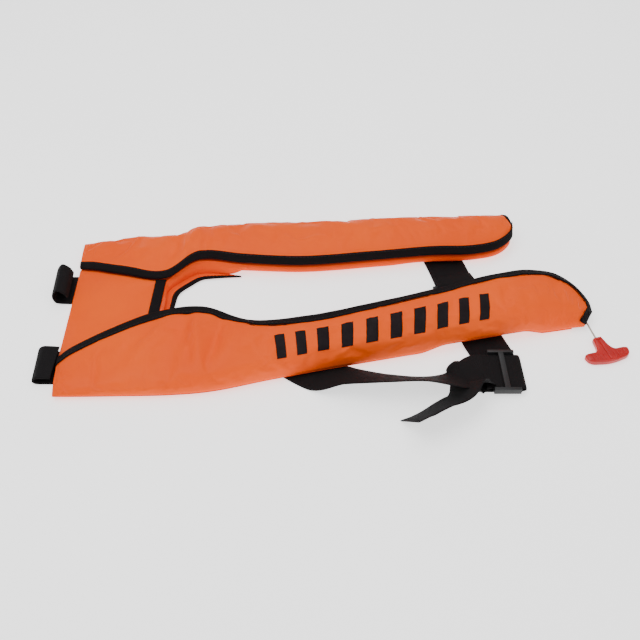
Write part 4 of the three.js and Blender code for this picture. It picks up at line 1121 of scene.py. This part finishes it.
def build_straps():
    belt, _ = ribbon("waist_belt_run", [
        (-80, -55, LOW, 0.56, 0.83, 0), (-14, -103, LOW, 0.5, 0.86, 0), (22, -115, 12.5, 0.2, 0.86, -0.46),
        (60, -122, 17.5, 0, 0.79, -0.63), (99, -124, 18.6, 0, 0.72, -0.7), (142, -121, 13, 0, 0.88, -0.47),
        (158, -108, HIGH + 0.8, 0, 1, -0.05), (167, -104, HIGH, 0, 1, 0), (192, -104, HIGH, 0, 1, 0),
        (212, -104, HIGH, 0, 1, 0),
    ], WEB_WIDTH, WEB)
    loop, _ = ribbon("waist_belt_loop", [
        (188, -128, LOW, 1, 0, 0), (188, -80, LOW, 1, 0, 0), (179, -45, LOW, 0.99, 0.1, 0), at_buckle(-18, LOW),
        at_buckle(-9, 1.9), at_buckle(-7.4, 4.6), at_buckle(-10, 7.7), at_buckle(-20, 6.6),
        (179, -50, HIGH, 0.99, 0.1, 0), (188, -80, HIGH, 1, 0, 0), (188, -128, HIGH, 1, 0, 0),
    ], WEB_WIDTH, WEB)
    free, free_sections = ribbon("waist_belt_end", [
        (210, -104, HIGH, 0, 1, 0), (215, -104, HIGH + 1, 0, 1, 0),
        (216.5, -104, (HIGH + SLIDER_WEB) / 2, 0, 1, 0),
        (214.5, -104, SLIDER_WEB - 0.3, 0, 1, 0), (209, -104, SLIDER_WEB, 0, 1, 0),
        (176, -104, SLIDER_WEB, 0, 1, 0),
        (168, -105, SLIDER_WEB, 0, 1, 0), (155, -122, 12, 0, 0.92, -0.38), (141, -146, 15.8, 0, 0.8, -0.6),
        (118, -162, 18, 0, 0.74, -0.67), (98, -175, 18.6, 0, 0.72, -0.7), (82, -183, 18.6, 0, 0.72, -0.7),
    ], WEB_WIDTH, WEB)
    whole = joined([belt, loop, free], "waist_belt_webbing")
    settle(whole, "jacket", "webbing", "waist_belt")
    a, b = free_sections[-4], free_sections[-16]
    box_stitch("belt_end_stitches", (a[2], a[17], b[17], b[2]), 0.1)
    strap, _ = ribbon("far_strap_webbing", [
        (142, 118, LOW, 0.98, 0.19, 0), (152, 80, LOW, 0.98, 0.19, 0), at_buckle(50, LOW), at_buckle(41, 1.9),
        at_buckle(39.2, 4.6), at_buckle(42, 7.8), at_buckle(50, 7), at_buckle(64, 3.6),
    ], WEB_WIDTH, WEB)
    settle(strap, "jacket", "webbing", "far_strap")
    back = np.array([-326 + 306, 116 + 139, 0.0])
    back /= np.linalg.norm(back)
    floor = GAP + WEB / 2
    loops = [
        ("right", -92, [
            (-14, floor), (10, floor), (23, floor + 1), (26, 5.6), (21, 10), (11, 10.4), (3.6, 9.6)]),
        ("left", 38, [(-14, floor), (8, floor), (20, 4), (22, 14), (15, 22.5), (7, 18), (3.6, 10.5)]),
    ]
    for side, y, profile in loops:
        middle = np.array([-306, -139, 0.0]) + back * (y + 139)
        stations = [(middle[0] - out, middle[1], z, *back) for out, z in profile]
        loop, _ = ribbon(f"back_loop_{side}_webbing", stations, WEB_WIDTH, WEB)
        settle(loop, "jacket", "webbing", f"back_loop_{side}")


build_straps()


# ---- Pull handle and its lanyard: the handle's own -Y is the direction of the pull ----
PULL_AT, PULL_TURN = (313, -50, 0), 14.5


def build_handle():
    handle = rounded("pull_handle", 2.3, HANDLE, 5, 40)
    top = GAP + 8
    ribs = [(-1.3, 1.3, -36.5, -5, top - 0.6, top + 0.9)]
    for side in (-1, 1):
        for k in range(4):
            x = side * (6.5 + 4.4 * k)
            ribs.append((x - 0.8, x + 0.8, -35 + 1.0 * k, -25.5 + 0.5 * k, top - 0.6, top + 0.6))
    ribs.append((-4.2, 4.2, -4.5, -1.2, top - 0.6, top + 0.7))
    detail = blocks("pull_handle_ribs", ribs, HANDLE, PULL_AT, PULL_TURN, 0.5)
    settle(detail, "pull_handle", "handle_plastic")
    height = GAP + 4
    points = placed([(0, 0.4, height), (0, 10, height + 1), (0, 22, height + 2.5), (0, 34, height + 3),
                     (0, 46, height + 3)], PULL_AT, PULL_TURN)
    lanyard, path = laid_cord("lanyard_outer_cord", points, 2.2, CORD)
    settle(lanyard, "pull_handle", "lanyard_cord", "lanyard_outer")


build_handle()


# ---- Inflator: its own +X runs along the right lobe towards the tip ----
LOBE_SLOPE = 0.229
CAD_CLOTH = 1.2
CYLINDER_RADIUS = 12.5
INFLATOR_TURN = math.degrees(math.atan(LOBE_SLOPE))
INFLATOR_HEIGHT = STRAP_BED + CAD_CLOTH + CYLINDER_RADIUS + 1.1
INFLATOR_AT = (95, -38, INFLATOR_HEIGHT)


def helix(radius, start, end, turns, per_turn=24):
    t = np.linspace(0, 1, int(turns * per_turn))
    angle = 2 * math.pi * turns * t
    return np.stack([start + (end - start) * t, radius * np.cos(angle), radius * np.sin(angle)], axis=1)


def compressed(coil):
    """Gives the spring its own copy of its mesh."""
    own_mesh(coil)


def build_inflator():
    rounded("inflator_body", 1.4, BLACK, 3)
    rounded("inflator_lever", 0.7, RED, 3)
    rounded("lever_pivot", 0.3, STEEL, 2)
    rounded("piercing_pin", 0.12, STEEL, 1)
    rounded("status_clip", 0.8, GREEN, 3)
    rounded("manifold_cap_nut", 0.4, BRASS, 2)
    rounded("bladder_manifold", 0.3, BRASS, 2)
    rounded("cylinder_seal", 0.5, RUBBER, 3)
    ribs = [(-12.5, 2.5, y - 0.5, y + 0.5, 11.2, 12.0) for y in (0.5, 3.5, 6.5, 9.5)]
    body = blocks("inflator_body_ribs", ribs, BLACK, INFLATOR_AT, INFLATOR_TURN, 0.3)
    settle(body, "jacket", "black_plastic")
    end = -14 - 3.2
    shape = [
        (0, end - 118), (6, end - 117.6), (9.9, end - 116), (12.0, end - 112.5), (12.5, end - 109),
        (12.5, end - 14), (12.1, end - 12), (10.6, end - 8), (8.2, end - 5), (6.6, end - 3.6),
        (5.4, end - 3.2), (4.6, end - 2.6), (4.6, end), (4.2, end + 0.6),
    ]
    thread = [(4.6 if k % 2 else 4.25, end + 1 + 0.55 * k) for k in range(20)]
    shape += thread + [(4.3, -3.6), (2.1, -3.5), (1.9, -3.7), (1.9, -6.9), (0, -6.9)]
    cylinder = lathe("gas_cylinder", shape, CYLINDER, INFLATOR_AT, INFLATOR_TURN, 72)
    settle(cylinder, "jacket", "cylinder_steel", "co2_cylinder")
    coil = wire("pin_spring_coil", placed(helix(3.2, -2.8, 0.9, 3.5), INFLATOR_AT, INFLATOR_TURN), 0.34, STEEL)
    settle(coil, "jacket", "steel", "pin_spring")
    compressed(coil)
    c = math.radians(-55)
    eye = placed([(9.5 + 20 * math.cos(c), 20 * math.sin(c), 4.1)], INFLATOR_AT, INFLATOR_TURN)[0]
    tip = placed([(1, 50, GAP + 4 + 3.5)], PULL_AT, PULL_TURN)[0]
    points = [
        eye, (118, -38, 27), (138, -30, 33), (190, -14, 34), (240, -2, 31), (272, 6, 23), (290, 6, 15), tip]
    inner, _ = laid_cord("lanyard_inner_cord", np.array(points, float), 2.2, CORD)
    settle(inner, "jacket", "lanyard_cord", "lanyard_inner")


build_inflator()


# ---- Buckle and slider ----
def build_fastenings():
    for node in ("buckle_female", "buckle_male", "latch_arm_left", "latch_arm_right"):
        rounded(node, 0.7, BLACK, 3)
    rounded("slider", 0.8, BLACK, 3)
    grips = [(x - 0.7, x + 0.7, 5, 13, 9.2, 9.9) for x in (-9, -4.5, 0, 4.5, 9)]
    settle(blocks("buckle_grip_ribs", grips, BLACK, BUCKLE_AT, BUCKLE_TURN, 0.3), "jacket", "black_plastic")


build_fastenings()


# ---- Oral tube, its valve and the whistle in the left lobe ----
ORAL_AT, ORAL_TURN = (-60, 103, 14), 3.6


def build_oral():
    outer, inner, length = 6.5, 4.3, 92
    profile = [(0, 0), (9.2, 0), (9.5, 0.4), (9.5, 2.6), (9.0, 3.2), (7.4, 4.6), (6.5, 6.4)]
    for k in range(12):
        x = 14 + 4.0 * k
        profile += [(outer, x), (outer + 0.55, x + 0.6), (outer + 0.55, x + 1.6), (outer, x + 2.2)]
    profile += [(outer, length - 0.5), (outer - 0.4, length), (inner, length), (inner, 8), (0, 8)]
    settle(
        lathe("oral_inflation_tube", profile, RUBBER, ORAL_AT, ORAL_TURN),
        "jacket", "seal_rubber", "oral_tube")
    start, mouth = length - 14, length + GAP
    valve = [
        (2.6, start), (3.95, start), (3.95, mouth), (6.9, mouth), (7.3, mouth + 0.5), (7.3, mouth + 4),
        (6.7, mouth + 5.5),
        (6.7, mouth + 7), (7.3, mouth + 8.5), (7.3, mouth + 11.4), (6.8, mouth + 12), (4.0, mouth + 12),
        (4.0, mouth + 2), (2.6, mouth + 2), (2.6, start),
    ]
    settle(lathe("mouthpiece_valve", valve, BLACK, ORAL_AT, ORAL_TURN), "jacket", "black_plastic", "oral_valve")
    head = 3.65
    poppet = [(0, start + 2), (1.3, start + 2), (1.4, start + 2.3), (1.4, mouth + 6), (head, mouth + 6),
              (head, mouth + 8), (head - 0.4, mouth + 8.4), (0, mouth + 8.4)]
    settle(
        lathe("valve_plunger", poppet, BLUE, ORAL_AT, ORAL_TURN, 40),
        "valve_poppet", "blue_plastic", "valve_poppet")
    coil = wire(
        "valve_spring_coil", placed(helix(2.7, mouth + 2.6, mouth + 5.4, 2.5), ORAL_AT, ORAL_TURN), 0.3, STEEL)
    settle(coil, "jacket", "steel", "valve_spring")
    compressed(coil)
    cap_end = mouth + 12 + GAP
    cap = [(0, cap_end), (7.7, cap_end), (7.7, cap_end - 10), (8.9, cap_end - 10), (8.9, cap_end - 6),
           (8.5, cap_end - 5.4), (8.5, cap_end - 4), (8.9, cap_end - 3.4), (8.9, cap_end + 0.9),
           (8.2, cap_end + 1.6),
           (0, cap_end + 1.6)]
    settle(lathe("valve_dust_cap", cap, RED, ORAL_AT, ORAL_TURN), "dust_cap", "red_plastic", "dust_cap")
    rounded("whistle", 0.9, WHISTLE, 3)


build_oral()


# ---- The folded bladder ----
def build_bladder_pack(name, rings, seed):
    """A soft pack through rings of (side a, side b, low, high), with lengthwise folds."""
    rings = np.array(rings, float)
    t = np.linspace(0, 1, 18 * len(rings))
    index = t * (len(rings) - 1)
    fields = np.stack([np.interp(index, np.arange(len(rings)), rings[:, k]) for k in range(8)], axis=1)
    a, b, low, high = fields[:, 0:3], fields[:, 3:6], fields[:, 6], fields[:, 7]
    angle = np.linspace(0, 2 * math.pi, 56, endpoint=False)
    c, d = np.cos(angle), np.sin(angle)
    u, v = np.sign(c) * np.abs(c) ** 0.65, np.sign(d) * np.abs(d) ** 0.65
    end = np.clip(np.minimum(t, 1 - t) * len(rings) * 1.2, 0.05, 1) ** 0.4
    middle = (a + b) / 2
    half = (b - a) / 2
    half_height = (high - low) / 2
    pleat = 1 - 0.07 * np.abs(np.sin(2.5 * angle + 0.6))[None, :] ** 0.5
    points = middle[:, None] + half[:, None] * (u[None, :] * pleat * end[:, None])[..., None]
    points[..., 2] = ((low + high) / 2)[:, None] + half_height[:, None] * v[None, :] * pleat * end[:, None]
    shrink = 0.97 + 0.03 * wobble(points, 16, seed)
    centre = points.mean(axis=1, keepdims=True)
    points = centre + (points - centre) * shrink[..., None] * 0.985
    pack = sweep(name, points, BLADDER)
    swollen(pack, 1.4)
    return pack


def lobe_rings(lobe, sections):
    rings = []
    for x, s0, s1, top in sections:
        outer, reach, under, _, _, _ = lobe.frame(np.array([lobe.at_x(x)]))
        unit = reach[0] / np.linalg.norm(reach[0, :2])
        a, b = outer[0] + unit * s0, outer[0] + unit * s1
        rings.append((a[0], a[1], 0, b[0], b[1], 0, under[0] + 1.2 + 1.2, top))
    return rings


RIGHT_PACK = [
    (264, 12, 36, 20), (250, 12, 40, 25), (236, 12, 44, 27), (226, 10, 46, 28), (215, 10, 48, 29),
    (160, 10, 46, 30),
    (142, 9, 32, 27), (134, 7, 12, 24), (104, 7, 12, 24), (70, 7, 16, 25), (-50, 7, 20, 25), (-62, 8, 46, 28),
    (-110, 8, 50, 27), (-150, 10, 62, 23), (-200, 18, 74, 17), (-250, 20, 60, 14),
]
LEFT_PACK = [
    (222, 10, 36, 20), (200, 8, 46, 25), (170, 8, 48, 26), (160, 8, 30, 27), (90, 8, 30, 27), (-75, 8, 34, 27),
    (-85, 8, 52, 27), (-130, 8, 48, 26), (-175, 8, 42, 20), (-210, 12, 58, 16), (-265, 14, 48, 13),
]


def build_bladder():
    right = build_bladder_pack("bladder_pack_right", lobe_rings(right_lobe, RIGHT_PACK), 2.2)
    settle(right, "jacket", "bladder_cloth", "bladder_right")
    left = build_bladder_pack("bladder_pack_left", lobe_rings(left_lobe, LEFT_PACK), 6.1)
    settle(left, "jacket", "bladder_cloth", "bladder_left")
    w = np.linspace(0.05, 0.95, 7)
    ends = yoke_grid(np.array([0.35, 0.5, 0.9]), w, None)
    rings = [(*row[0][:2], 0, *row[2][:2], 0, STRAP_BED + 2.4, row[1][2] - 3.4) for row in ends]
    back = build_bladder_pack("bladder_pack_back", rings, 9.3)
    settle(back, "jacket", "bladder_cloth", "bladder_back")


build_bladder()


# ---- Anything still shown from the frame takes its slot's finish ----
for node, obj in frame["nodes"].items():
    obj.data.materials.clear()
    obj.data.materials.append(MATERIAL_OF_SLOT[SLOT_OF_NODE[node]])
